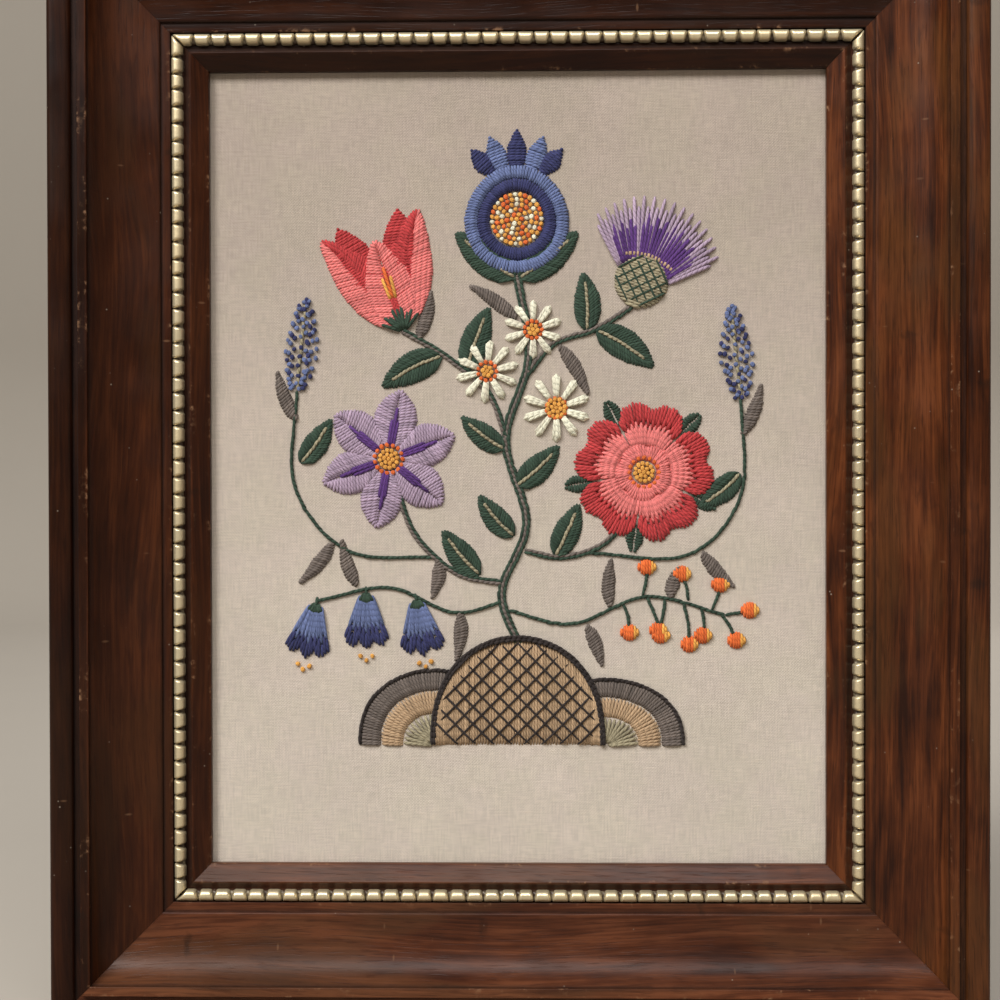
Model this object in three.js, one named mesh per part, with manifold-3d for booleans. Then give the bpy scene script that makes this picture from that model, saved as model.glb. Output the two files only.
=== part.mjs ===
import * as THREE from 'three';
import { mergeVertices } from 'three/addons/utils/BufferGeometryUtils.js';
import Module from 'manifold-3d';

// A crewel embroidery panel in its wide wooden scoop frame with a gilt bead strip.
// Millimetres. The finished part stands on its bottom rail: x to the viewer's right,
// z up, and the embroidered face looks towards -y.
// Until the last group turns it upright, the panel lies face up: x right, y up the
// picture, z from the back of the frame towards the viewer, centred on the picture.

const wasm = await Module();
wasm.setup();

// Driving dimensions of the frame and the panel
const SIGHT_WIDTH = 267;
const SIGHT_HEIGHT = 344;
const RAIL_WIDTH = 65;
const FRAME_DEPTH = 34;
const GAP = 0.3;
const WELD = 1e-4;

// Moulding, as distances out from the sight edge and heights above the back
const REBATE = { wide: 6.2, deep: 9 };
const LIP = { edge: 12, ridge: 17, ridgeOut: 7.1, round: 0.7 };
const CHANNEL = { from: 10.1, to: 15.7, floor: 14.8 };
const STRIP = { high: 17.4, to: 19.8 };
const SCOOP = { from: 21.1, to: 48, low: 18.6, high: 31.2, hollow: 4.5 };
const FILLET = { to: 52, high: 33.2, round: 0.8 };
const COVE = { to: 54.8, floor: 30.6 };
const BAND = { round: 3 };

// Gilt bead strip, a half-round bar cut by notches
const BEAD = { wide: 4.9, high: 3.9, pitch: 7.25, shoulder: 0.17, notchWide: 0.8, notchHigh: 0.5, flat: 0.55 };

// Linen and the board behind it
const LINEN_THICK = 1.6;
const BOARD_THICK = 3;

// Padded embroidery
const PAD = { rim: 0.55, crown: 1.5, blunt: 0.35 };
const DOME = { sides: 20, rim: 0.6, crown: 2 };
const CUT_REACH = 3;
const LEAST_PIECE = 6;

const LINEN_FRONT = REBATE.deep - GAP;
const STITCH_BASE = LINEN_FRONT + GAP;

// The tree of life: routes of the trunk and its branches, from the root outwards
const STEMS = [
  { name: 'trunk', wide: 3.4, route: [[1, -78], [-7, -54], [4, -24], [-5, 12], [5, 48], [0, 84]] },
  { name: 'clematis', wide: 2.4, route: [[-6, -50], [-26, -46], [-44, -30], [-53, -8]] },
  { name: 'rose', wide: 2.4, route: [[3, -36], [20, -39], [39, -32], [52, -14]] },
  { name: 'tulip', wide: 2.4, route: [[-4, 10], [-12, 32], [-30, 48], [-50, 60]] },
  { name: 'thistle', wide: 2.4, route: [[4, 40], [16, 54], [34, 60], [50, 70]] },
  { name: 'bells', wide: 1.5, route: [[-6, -58], [-28, -63], [-56, -52], [-88, -58]] },
  { name: 'left_spike', wide: 1.5, route: [[-36, -39], [-74, -36], [-97, -8], [-96, 34]] },
  { name: 'right_spike', wide: 1.5, route: [[30, -37], [74, -38], [97, -12], [97, 30]] },
];
const BERRY_STEM = { wide: 1.5, route: [[-4, -62], [24, -68], [56, -56], [90, -64]] };

// Leaves: where the base sits, the way it points in degrees clockwise from up, and its size
const GREEN_LEAVES = [
  { x: -16, y: -47, points: -48, long: 26, wide: 12, bend: 0.15 },
  { x: 16, y: -39, points: 30, long: 26, wide: 12, bend: -0.1 },
  { x: -1, y: -30, points: -52, long: 24, wide: 11, bend: 0.2 },
  { x: -1, y: -8, points: 58, long: 26, wide: 12, bend: -0.2 },
  { x: -5, y: 8, points: -64, long: 24, wide: 11, bend: 0.2 },
  { x: -32, y: 49, points: -106, long: 30, wide: 14, bend: -0.2 },
  { x: 34, y: 60, points: 112, long: 30, wide: 14, bend: 0.2 },
  { x: 0, y: 82, points: -58, long: 34, wide: 15, bend: 0.1 },
  { x: 0, y: 82, points: 58, long: 34, wide: 15, bend: -0.1 },
  { x: -22, y: 42, points: 14, long: 30, wide: 13, bend: 0.1 },
  { x: -95, y: 2, points: 46, long: 24, wide: 11, bend: -0.2 },
  { x: 97, y: -2, points: -140, long: 24, wide: 11, bend: 0.2 },
  { x: 30, y: 59, points: 8, long: 26, wide: 12, bend: -0.2 },
];
const TAUPE_LEAVES = [
  { x: -25, y: -62, points: 172, long: 22, bend: 0.25 },
  { x: 40, y: -61, points: -8, long: 22, bend: 0.2 },
  { x: 66, y: -57, points: 8, long: 15, bend: 0.2 },
  { x: 30, y: -68, points: 150, long: 20, bend: 0.2 },
  { x: -70, y: -52, points: -28, long: 22, bend: 0.2 },
  { x: 18, y: 54, points: 140, long: 26, bend: 0.2 },
  { x: 0, y: 64, points: -42, long: 26, bend: -0.2 },
  { x: -34, y: -39, points: 175, long: 18, bend: 0.3 },
  { x: -44, y: 56, points: 34, long: 22, bend: -0.3 },
  { x: -96, y: 20, points: -34, long: 24, bend: 0.25 },
  { x: 97, y: 14, points: 36, long: 24, bend: -0.25 },
  { x: -80, y: -32, points: -150, long: 24, bend: 0.2 },
  { x: 80, y: -36, points: 150, long: 22, bend: -0.2 },
];
const GREEN_LEAF = { peak: 0.85, sharp: 0.75, stations: 8 };
const TAUPE_LEAF = { wide: 6.5, peak: 0.8, sharp: 0.8, stations: 8 };

// Blooms: centre or base, size and turn in degrees clockwise from up
const POMEGRANATE = { x: 0, y: 108, wide: 46, high: 48 };
const CROWN = [
  { points: -46, long: 15 },
  { points: -23, long: 18 },
  { points: 0, long: 20 },
  { points: 23, long: 18 },
  { points: 46, long: 15 },
];
const TULIP = { x: -50, y: 62, points: -18, long: 52, wide: 46 };
const THISTLE = { x: 50, y: 70, points: 20, cup: 12, tuftFrom: 17, tuftTo: 45, tuftHalf: 47 };
const CLEMATIS = { x: -56, y: 4, radius: 31, points: 10, petals: 6 };
const ROSE = { x: 55, y: -2, radius: 31, points: 8, petals: 5 };
const MARGUERITES = [
  { x: -13, y: 42, radius: 14, points: 5 },
  { x: 17, y: 26, radius: 15, points: 0 },
  { x: 7, y: 60, radius: 13, points: 0 },
];
const MARGUERITE_PETALS = 10;
const BELLS = [
  { x: -88, y: -60, points: 192 },
  { x: -66, y: -55.5, points: 180 },
  { x: -44, y: -58.5, points: 172 },
];
const BELL = { long: 24, mouth: 20, neck: 5.6, stations: 10 };
const SPIKES = [
  { x: -96, y: 34, points: 6 },
  { x: 97, y: 30, points: -6 },
];
const SPIKE = { long: 40, wide: 13, peak: 0.9, sharp: 0.7, stations: 12 };
const BERRIES = [
  { x: 46, y: -59, points: 168, stalk: 13 },
  { x: 56, y: -56, points: 160, stalk: 18 },
  { x: 64, y: -57, points: 192, stalk: 14 },
  { x: 72, y: -58, points: 172, stalk: 19 },
  { x: 80, y: -61, points: 178, stalk: 12 },
  { x: 88, y: -63, points: 150, stalk: 14 },
  { x: 90, y: -64, points: 80, stalk: 11 },
  { x: 84, y: -62, points: 20, stalk: 12 },
  { x: 74, y: -58, points: -12, stalk: 12 },
  { x: 54, y: -56, points: 10, stalk: 13 },
];
const BERRY_RADIUS = 3.8;
const STALK_WIDE = 1.4;

// Hillocks under the tree
const HILL_BASE = -121;
const HILLS = [
  { x: 0, half: 37, high: 47 },
  { x: -36, half: 33, high: 33 },
  { x: 38, half: 34, high: 29 },
];
const HILL_STATIONS = 18;
const HILL_SHOULDER = 0.8;

// Finishes
const FINISHES = {
  walnut: { color: 0x4a2a1c, roughness: 0.4, metalness: 0 },
  gilt: { color: 0xc4ae80, roughness: 0.38, metalness: 0.85 },
  linen: { color: 0xc3b49e, roughness: 0.95, metalness: 0 },
  board: { color: 0x8c7355, roughness: 0.9, metalness: 0 },
  wool_coral: { color: 0xc0484a, roughness: 0.95, metalness: 0 },
  wool_violet: { color: 0x6a4a86, roughness: 0.95, metalness: 0 },
  wool_lilac: { color: 0xa692a6, roughness: 0.95, metalness: 0 },
  wool_blue: { color: 0x4a5488, roughness: 0.95, metalness: 0 },
  wool_green: { color: 0x2c4636, roughness: 0.95, metalness: 0 },
  wool_taupe: { color: 0x6a5e56, roughness: 0.95, metalness: 0 },
  wool_cream: { color: 0xeae0c8, roughness: 0.95, metalness: 0 },
  wool_orange: { color: 0xe07832, roughness: 0.95, metalness: 0 },
  wool_tan: { color: 0xaf9678, roughness: 0.95, metalness: 0 },
};

const materials = Object.fromEntries(
  Object.entries(FINISHES).map(([name, finish]) => [name, new THREE.MeshStandardMaterial(finish)]),
);

const panel = new THREE.Group();
panel.name = 'panel';

function addMesh(name, finish, geometry, quarterTurns = 0) {
  const mesh = new THREE.Mesh(geometry, materials[finish]);
  mesh.name = name;
  mesh.rotation.z = (quarterTurns * Math.PI) / 2;
  panel.add(mesh);
}

// A closed skin over loops of equal length, with flat ends, turned to face outwards.
// Each end is a fan about its own middle, so a loop may be any outline seen from there.
function loft(loops) {
  const count = loops[0].length;
  const ends = [loops[0], loops[loops.length - 1]];
  const points = [...loops.flat(), ...ends.map(middleOf)];
  const index = [];
  for (let ring = 0; ring + 1 < loops.length; ring += 1) {
    for (let side = 0; side < count; side += 1) {
      const a = ring * count + side;
      const b = ring * count + ((side + 1) % count);
      index.push(a, b, b + count, a, b + count, a + count);
    }
  }
  const last = (loops.length - 1) * count;
  const firstMiddle = points.length - 2;
  const lastMiddle = points.length - 1;
  for (let side = 0; side < count; side += 1) {
    const next = (side + 1) % count;
    index.push(firstMiddle, next, side, lastMiddle, last + side, last + next);
  }
  const geometry = new THREE.BufferGeometry().setFromPoints(points);
  geometry.setIndex(enclosedVolume(points, index) < 0 ? index.reverse() : index);
  return geometry;
}

function middleOf(loop) {
  return loop.reduce((sum, point) => sum.add(point), new THREE.Vector3()).divideScalar(loop.length);
}

function enclosedVolume(points, index) {
  const cross = new THREE.Vector3();
  let volume = 0;
  for (let corner = 0; corner < index.length; corner += 3) {
    cross.crossVectors(points[index[corner + 1]], points[index[corner + 2]]);
    volume += points[index[corner]].dot(cross) / 6;
  }
  return volume;
}

function solidOf(geometry) {
  const vertProperties = new Float32Array(geometry.getAttribute('position').array);
  const triVerts = new Uint32Array(geometry.getIndex().array);
  return new wasm.Manifold(new wasm.Mesh({ numProp: 3, vertProperties, triVerts }));
}

function geometryOf(solid) {
  const mesh = solid.getMesh();
  const geometry = new THREE.BufferGeometry();
  geometry.setAttribute('position', new THREE.BufferAttribute(mesh.vertProperties, 3));
  geometry.setIndex(new THREE.BufferAttribute(mesh.triVerts, 1));
  return geometry;
}

function union(solids) {
  return solids.reduce((joined, solid) => joined.add(solid));
}

// Frame: one moulding section, mitred at both ends

function mouldingSection() {
  const section = new THREE.Shape();
  const filletTop = FILLET.high - FILLET.round;
  section.moveTo(REBATE.wide, 0);
  section.lineTo(RAIL_WIDTH, 0);
  section.lineTo(RAIL_WIDTH, FRAME_DEPTH - BAND.round);
  section.quadraticCurveTo(RAIL_WIDTH, FRAME_DEPTH, RAIL_WIDTH - BAND.round, FRAME_DEPTH);
  section.quadraticCurveTo(COVE.to, FRAME_DEPTH, COVE.to, COVE.floor);
  section.lineTo(FILLET.to, COVE.floor);
  section.lineTo(FILLET.to, filletTop);
  section.quadraticCurveTo(FILLET.to, FILLET.high, FILLET.to - FILLET.round, FILLET.high);
  section.lineTo(SCOOP.to + FILLET.round, FILLET.high);
  section.quadraticCurveTo(SCOOP.to, FILLET.high, SCOOP.to, filletTop);
  section.lineTo(SCOOP.to, SCOOP.high);
  const scoopMiddle = (SCOOP.from + SCOOP.to) / 2;
  section.bezierCurveTo(
    SCOOP.to - SCOOP.hollow, SCOOP.high - 2 * SCOOP.hollow,
    scoopMiddle, SCOOP.low,
    SCOOP.from, SCOOP.low,
  );
  section.quadraticCurveTo(STRIP.to, SCOOP.low, STRIP.to, STRIP.high);
  section.lineTo(CHANNEL.to, STRIP.high);
  section.lineTo(CHANNEL.to, CHANNEL.floor);
  section.lineTo(CHANNEL.from, CHANNEL.floor);
  section.lineTo(LIP.ridgeOut + LIP.round, LIP.ridge - LIP.round);
  section.quadraticCurveTo(LIP.ridgeOut, LIP.ridge, LIP.ridgeOut - 2 * LIP.round, LIP.ridge - LIP.round);
  section.lineTo(0, LIP.edge);
  section.lineTo(0, REBATE.deep);
  section.lineTo(REBATE.wide, REBATE.deep);
  section.closePath();
  return section;
}

function rail(halfLength, halfAcross) {
  const section = new THREE.ExtrudeGeometry(mouldingSection(), { depth: 1, bevelEnabled: false, curveSegments: 8 });
  section.deleteAttribute('normal');
  section.deleteAttribute('uv');
  const geometry = mergeVertices(section, WELD);
  const position = geometry.getAttribute('position');
  const mitreGap = GAP / Math.SQRT2;
  for (let corner = 0; corner < position.count; corner += 1) {
    const out = position.getX(corner);
    const end = 1 - 2 * position.getZ(corner);
    position.setXYZ(corner, end * (halfLength + out - mitreGap), -(halfAcross + out), position.getY(corner));
  }
  return geometry;
}

function beadLoop(along, across, floor, share, mitre) {
  const half = (BEAD.wide / 2) * share.wide;
  const high = BEAD.high * share.high;
  const outline = [[-half, 0], [half, 0], [BEAD.flat * half, high], [-BEAD.flat * half, high]];
  return outline.map(([out, up]) => new THREE.Vector3(along + mitre * out, -(across + out), floor + up));
}

function beadStrip(halfLength, halfAcross) {
  const middle = (CHANNEL.from + CHANNEL.to) / 2;
  const reach = halfLength + middle - GAP / Math.SQRT2;
  const across = halfAcross + middle;
  const floor = CHANNEL.floor + GAP;
  const count = Math.round((2 * reach) / BEAD.pitch);
  const pitch = (2 * reach) / count;
  const full = { wide: 1, high: 1 };
  const notch = { wide: BEAD.notchWide, high: BEAD.notchHigh };
  const loops = [];
  for (let bead = 0; bead < count; bead += 1) {
    const start = -reach + bead * pitch;
    const startMitre = bead === 0 ? -1 : 0;
    const endMitre = bead === count - 1 ? 1 : 0;
    loops.push(beadLoop(start, across, floor, notch, startMitre));
    loops.push(beadLoop(start + BEAD.shoulder * pitch, across, floor, full, startMitre));
    loops.push(beadLoop(start + (1 - BEAD.shoulder) * pitch, across, floor, full, endMitre));
  }
  loops.push(beadLoop(reach, across, floor, notch, 1));
  return loft(loops);
}

// Each side is the bottom one, turned anticlockwise by quarter turns.
const SIDES = [
  { name: 'bottom', half: SIGHT_WIDTH / 2, across: SIGHT_HEIGHT / 2 },
  { name: 'right', half: SIGHT_HEIGHT / 2, across: SIGHT_WIDTH / 2 },
  { name: 'top', half: SIGHT_WIDTH / 2, across: SIGHT_HEIGHT / 2 },
  { name: 'left', half: SIGHT_HEIGHT / 2, across: SIGHT_WIDTH / 2 },
];
SIDES.forEach(({ name, half, across }, quarterTurns) => {
  addMesh(`rail_${name}`, 'walnut', rail(half, across), quarterTurns);
  addMesh(`bead_${name}`, 'gilt', beadStrip(half, across), quarterTurns);
});

// Linen and board, both laid in the rebate

function rebateSheet(thick, front) {
  const wide = SIGHT_WIDTH + 2 * (REBATE.wide - GAP);
  const high = SIGHT_HEIGHT + 2 * (REBATE.wide - GAP);
  const box = new THREE.BoxGeometry(wide, high, thick);
  box.deleteAttribute('normal');
  box.deleteAttribute('uv');
  return mergeVertices(box, WELD).translate(0, 0, front - thick / 2);
}
addMesh('linen_panel', 'linen', rebateSheet(LINEN_THICK, LINEN_FRONT));
addMesh('mounting_board', 'board', rebateSheet(BOARD_THICK, LINEN_FRONT - LINEN_THICK - GAP));

// Padded embroidery. Every shape takes `grow`: with it the shape is that much larger
// all round and much taller, and serves to cut the clearance into its neighbours.

function turned(across, along, { x, y, points = 0 }) {
  const angle = THREE.MathUtils.degToRad(points);
  return new THREE.Vector2(
    x + across * Math.cos(angle) + along * Math.sin(angle),
    y - across * Math.sin(angle) + along * Math.cos(angle),
  );
}

// A pad between two edges, thin at its rim and crowned along its middle.
function pad(edgeA, edgeB, grow = 0) {
  const extra = grow > 0 ? CUT_REACH : 0;
  const base = STITCH_BASE - extra;
  const rim = STITCH_BASE + PAD.rim + extra;
  const crown = STITCH_BASE + PAD.crown + extra;
  const middle = edgeA.map((a, i) => a.clone().add(edgeB[i]).multiplyScalar(0.5));
  const end = middle.length - 1;
  const loops = middle.map((m, i) => {
    const along = middle[Math.min(i + 1, end)].clone().sub(middle[Math.max(i - 1, 0)]).normalize();
    const half = edgeB[i].clone().sub(m);
    const side = half.length() > PAD.blunt ? half.clone().normalize() : new THREE.Vector2(along.y, -along.x);
    const reach = side.multiplyScalar(Math.max(half.length(), PAD.blunt) + grow);
    const shift = i === 0 ? -grow : i === end ? grow : 0;
    const centre = m.clone().addScaledVector(along, shift);
    const a = centre.clone().sub(reach);
    const b = centre.clone().add(reach);
    return [
      new THREE.Vector3(a.x, a.y, base),
      new THREE.Vector3(b.x, b.y, base),
      new THREE.Vector3(b.x, b.y, rim),
      new THREE.Vector3(centre.x, centre.y, crown),
      new THREE.Vector3(a.x, a.y, rim),
    ];
  });
  return solidOf(loft(loops));
}

// A leaf or petal: pointed at both ends, widest where `peak` puts it, bent sideways.
function blade({ long, wide, peak, sharp, stations, bend = 0 }, place, grow = 0) {
  const edgeA = [];
  const edgeB = [];
  for (let i = 0; i < stations; i += 1) {
    const t = i / (stations - 1);
    const half = (wide / 2) * Math.abs(Math.sin(Math.PI * t ** peak)) ** sharp;
    const lean = Math.hypot(1, 2 * bend * t);
    const across = half / lean;
    const back = (half * 2 * bend * t) / lean;
    edgeA.push(turned(bend * long * t * t - across, long * t + back, place));
    edgeB.push(turned(bend * long * t * t + across, long * t - back, place));
  }
  return pad(edgeA, edgeB, grow);
}

// A petal between two radii round a centre; `edge` gives the outer radius from -1 to 1.
function fan({ x, y, points }, halfAngle, inner, edge, stations, grow = 0) {
  const edgeA = [];
  const edgeB = [];
  for (let i = 0; i < stations; i += 1) {
    const share = (2 * i) / (stations - 1) - 1;
    const place = { x, y, points: points + share * halfAngle };
    edgeA.push(turned(0, inner, place));
    edgeB.push(turned(0, edge(share), place));
  }
  return pad(edgeA, edgeB, grow);
}

// A low dome over an outline seen from its centre; `reach` gives the radius at each
// of `sides` directions, counted clockwise from where the motif points.
function dome(place, reach, sides, grow = 0) {
  const extra = grow > 0 ? CUT_REACH : 0;
  const rings = [
    { share: 1, up: -extra },
    { share: 1, up: DOME.rim + extra },
    { share: 0.62, up: 0.75 * DOME.crown + extra },
    { share: 0.3, up: DOME.crown + extra },
  ];
  const loops = rings.map(({ share, up }) => Array.from({ length: sides }, (_, side) => {
    const angle = (360 * side) / sides;
    const point = turned(0, share * (reach(angle) + grow), { ...place, points: (place.points ?? 0) + angle });
    return new THREE.Vector3(point.x, point.y, STITCH_BASE + up);
  }));
  return solidOf(loft(loops));
}

function oval(halfWide, halfHigh) {
  return (degrees) => {
    const angle = THREE.MathUtils.degToRad(degrees);
    return 1 / Math.hypot(Math.sin(angle) / halfWide, Math.cos(angle) / halfHigh);
  };
}

// The outline of a round flower; `edge` gives each petal's radius from -1 to 1 across it.
function petalled(petals, edge) {
  return (degrees) => {
    const turn = (degrees * petals) / 360;
    return edge(2 * (turn - Math.round(turn)));
  };
}

// A line of stem stitch along a smooth route.
function stemLine(route, wide, stations, grow = 0) {
  const curve = new THREE.CatmullRomCurve3(route.map(([x, y]) => new THREE.Vector3(x, y, 0)), false, 'catmullrom');
  const edgeA = [];
  const edgeB = [];
  for (let i = 0; i < stations; i += 1) {
    const point = curve.getPoint(i / (stations - 1));
    const along = curve.getTangent(i / (stations - 1));
    edgeA.push(new THREE.Vector2(point.x - (along.y * wide) / 2, point.y + (along.x * wide) / 2));
    edgeB.push(new THREE.Vector2(point.x + (along.y * wide) / 2, point.y - (along.x * wide) / 2));
  }
  return pad(edgeA, edgeB, grow);
}

// Blooms

function rose(grow) {
  const { radius, petals } = ROSE;
  const heart = (s) => radius * (1 - 0.08 * Math.exp(-((s / 0.3) ** 2)) - 0.36 * Math.abs(s) ** 6);
  return dome(ROSE, petalled(petals, heart), 10 * petals, grow);
}

function clematis(grow) {
  const { radius, petals } = CLEMATIS;
  const point = (s) => radius * (1 - 0.55 * Math.abs(s) ** 1.1);
  return dome(CLEMATIS, petalled(petals, point), 8 * petals, grow);
}

function marguerite(flower, grow) {
  const ray = (s) => flower.radius * (1 - 0.45 * Math.abs(s) ** 2);
  return dome(flower, petalled(MARGUERITE_PETALS, ray), 4 * MARGUERITE_PETALS, grow);
}

function pomegranate(grow) {
  const { x, y, wide, high } = POMEGRANATE;
  const tips = CROWN.map(({ points, long }) => {
    const spread = Math.sin(THREE.MathUtils.degToRad(points));
    const place = { x: x + spread * 0.3 * wide, y: y + 0.4 * high, points: 0.9 * points };
    return blade({ long, wide: 9, peak: 0.9, sharp: 0.8, stations: 6 }, place, grow);
  });
  return union([dome(POMEGRANATE, oval(wide / 2, high / 2), 28, grow), ...tips]);
}

function tulip(grow) {
  const { long, wide, points } = TULIP;
  const backPetal = { long: 0.9 * long, wide: 0.4 * wide, peak: 1.1, sharp: 0.75, stations: 8 };
  const sidePetal = { long: 0.96 * long, wide: 0.47 * wide, peak: 0.82, sharp: 0.72, stations: 10 };
  const frontPetal = { long: 0.76 * long, wide: 0.5 * wide, peak: 0.8, sharp: 0.68, stations: 10 };
  const petals = [blade(frontPetal, TULIP, grow)];
  for (const side of [-1, 1]) {
    const backBase = turned(side * 0.1 * wide, 0.06 * long, TULIP);
    const sideBase = turned(side * 0.06 * wide, 0, TULIP);
    const back = { x: backBase.x, y: backBase.y, points: points + side * 10 };
    const outer = { x: sideBase.x, y: sideBase.y, points: points + side * 14 };
    petals.push(blade({ ...backPetal, bend: side * 0.02 }, back, grow));
    petals.push(blade({ ...sidePetal, bend: side * 0.16 }, outer, grow));
  }
  return union(petals);
}

function thistle(grow) {
  const { cup, tuftFrom, tuftTo, tuftHalf, points } = THISTLE;
  const cupCentre = turned(0, cup, THISTLE);
  const root = turned(0, 4, THISTLE);
  const tuftEdge = (s) => tuftTo * (1 - 0.12 * s * s);
  return union([
    fan({ x: root.x, y: root.y, points }, tuftHalf, tuftFrom, tuftEdge, 13, grow),
    dome(cupCentre, oval(cup, cup), DOME.sides, grow),
  ]);
}

function bell(flower, grow) {
  const { long, mouth, neck, stations } = BELL;
  const top = [];
  const lip = [];
  for (let i = 0; i < stations; i += 1) {
    const s = (2 * i) / (stations - 1) - 1;
    const lobe = 0.86 + 0.14 * Math.abs(Math.cos(1.5 * Math.PI * s)) - 0.1 * Math.abs(s);
    top.push(turned((s * neck) / 2, 0, flower));
    lip.push(turned((s * mouth) / 2, long * lobe, flower));
  }
  return pad(top, lip, grow);
}

function hillocks(grow) {
  return union(HILLS.map(({ x, half, high }) => {
    const foot = [];
    const brow = [];
    for (let i = 1; i + 1 < HILL_STATIONS; i += 1) {
      const t = i / (HILL_STATIONS - 1);
      const across = x - half * Math.cos(Math.PI * t);
      foot.push(new THREE.Vector2(across, HILL_BASE));
      brow.push(new THREE.Vector2(across, HILL_BASE + high * Math.sin(Math.PI * t) ** HILL_SHOULDER));
    }
    return pad(foot, brow, grow);
  }));
}

// Foliage

function tree(grow) {
  const stems = STEMS.map(({ route, wide }) => stemLine(route, wide, 4 * route.length - 3, grow));
  const leaves = GREEN_LEAVES.map((leaf) => blade({ ...GREEN_LEAF, ...leaf }, leaf, grow));
  return union([...stems, ...leaves]);
}

function berrySpray(grow) {
  const sprigs = BERRIES.flatMap((berry) => {
    const tip = turned(0, berry.stalk, berry);
    return [
      stemLine([[berry.x, berry.y], [tip.x, tip.y]], STALK_WIDE, 2, grow),
      dome(tip, oval(BERRY_RADIUS, BERRY_RADIUS), 8, grow),
    ];
  });
  return union([stemLine(BERRY_STEM.route, BERRY_STEM.wide, 13, grow), ...sprigs]);
}

// Motifs from the front to the back; each one is cut clear of those before it.
const MOTIFS = [
  ...MARGUERITES.map((flower, i) => [`marguerite_${i + 1}`, 'wool_cream', (grow) => marguerite(flower, grow)]),
  ['hillocks', 'wool_tan', hillocks],
  ['pomegranate', 'wool_blue', pomegranate],
  ['tulip', 'wool_coral', tulip],
  ['thistle', 'wool_violet', thistle],
  ['clematis', 'wool_lilac', clematis],
  ['rose', 'wool_coral', rose],
  ...BELLS.map((flower, i) => [`bell_${i + 1}`, 'wool_blue', (grow) => bell(flower, grow)]),
  ...SPIKES.map((spike, i) => [`spike_${i + 1}`, 'wool_blue', (grow) => blade(SPIKE, spike, grow)]),
  ['tree', 'wool_green', tree],
  ['berry_spray', 'wool_orange', berrySpray],
  ...TAUPE_LEAVES.map((leaf, i) => (
    [`taupe_leaf_${i + 1}`, 'wool_taupe', (grow) => blade({ ...TAUPE_LEAF, ...leaf }, leaf, grow)]
  )),
];

let taken = null;
for (const [name, finish, make] of MOTIFS) {
  const whole = make(0);
  const clear = taken ? whole.subtract(taken) : whole;
  const pieces = clear.decompose().filter((piece) => piece.volume() > LEAST_PIECE);
  pieces.sort((a, b) => b.volume() - a.volume());
  pieces.forEach((piece, i) => {
    addMesh(pieces.length > 1 ? `${name}_part_${i + 1}` : name, finish, geometryOf(piece));
  });
  const grown = make(GAP);
  taken = taken ? taken.add(grown) : grown;
}

// Stand the panel up on its bottom rail, centred over the origin.
const framedPanel = new THREE.Group();
framedPanel.name = 'framed_crewel_panel';
panel.rotation.x = Math.PI / 2;
panel.position.set(0, FRAME_DEPTH / 2, SIGHT_HEIGHT / 2 + RAIL_WIDTH);
framedPanel.add(panel);

export default framedPanel;
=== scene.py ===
"""Framed crewel embroidery panel.

A wide walnut scoop frame with a gilt bead strip holds a piece of linen, on which a
tree of life is worked in wool, stitch by stitch. Lengths in the tables are in
millimetres on the picture plane: x to the right and y up from the picture's middle.
"""
from collections import namedtuple
from math import pi, radians

import bpy
import numpy as np
from bpy.props import FloatProperty, FloatVectorProperty, IntProperty, PointerProperty
from mathutils import Matrix, Vector
from mathutils.geometry import delaunay_2d_cdt


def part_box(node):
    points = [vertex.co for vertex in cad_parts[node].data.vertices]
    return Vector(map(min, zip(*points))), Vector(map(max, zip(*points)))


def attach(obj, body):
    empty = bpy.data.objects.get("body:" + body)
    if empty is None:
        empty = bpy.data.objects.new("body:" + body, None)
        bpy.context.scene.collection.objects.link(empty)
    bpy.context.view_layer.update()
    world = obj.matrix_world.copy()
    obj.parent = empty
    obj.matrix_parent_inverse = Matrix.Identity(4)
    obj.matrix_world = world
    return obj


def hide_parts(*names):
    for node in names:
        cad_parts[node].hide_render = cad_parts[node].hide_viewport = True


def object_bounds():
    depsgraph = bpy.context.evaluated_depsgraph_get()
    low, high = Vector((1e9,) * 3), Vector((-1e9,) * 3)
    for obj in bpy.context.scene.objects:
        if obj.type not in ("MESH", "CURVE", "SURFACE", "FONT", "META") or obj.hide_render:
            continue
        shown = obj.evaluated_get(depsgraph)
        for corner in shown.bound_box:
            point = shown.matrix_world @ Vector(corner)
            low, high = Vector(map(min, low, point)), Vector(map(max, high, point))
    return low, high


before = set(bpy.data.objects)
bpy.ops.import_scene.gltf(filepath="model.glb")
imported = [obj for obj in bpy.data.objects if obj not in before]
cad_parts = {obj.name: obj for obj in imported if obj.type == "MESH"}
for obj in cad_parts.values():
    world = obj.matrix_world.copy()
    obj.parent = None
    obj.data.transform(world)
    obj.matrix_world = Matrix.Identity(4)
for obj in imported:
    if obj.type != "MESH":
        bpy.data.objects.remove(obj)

bl_info = {
    "name": "Framed Crewel Panel",
    "version": (1, 0, 0),
    "blender": (4, 5, 0),
    "location": "3D View > Sidebar > Crewel",
    "description": "Builds a walnut frame with a gilt bead and a tree of life worked in wool on linen",
    "category": "Object",
}

MM = 0.001
CAD_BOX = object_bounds()
LINEN_LOW, LINEN_HIGH = (np.array(corner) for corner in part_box("linen_panel"))
LINEN_FRONT = LINEN_LOW[1]
PICTURE_MIDDLE = (LINEN_LOW[2] + LINEN_HIGH[2]) / 2
FRAME_BACK = CAD_BOX[1][1]

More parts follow.
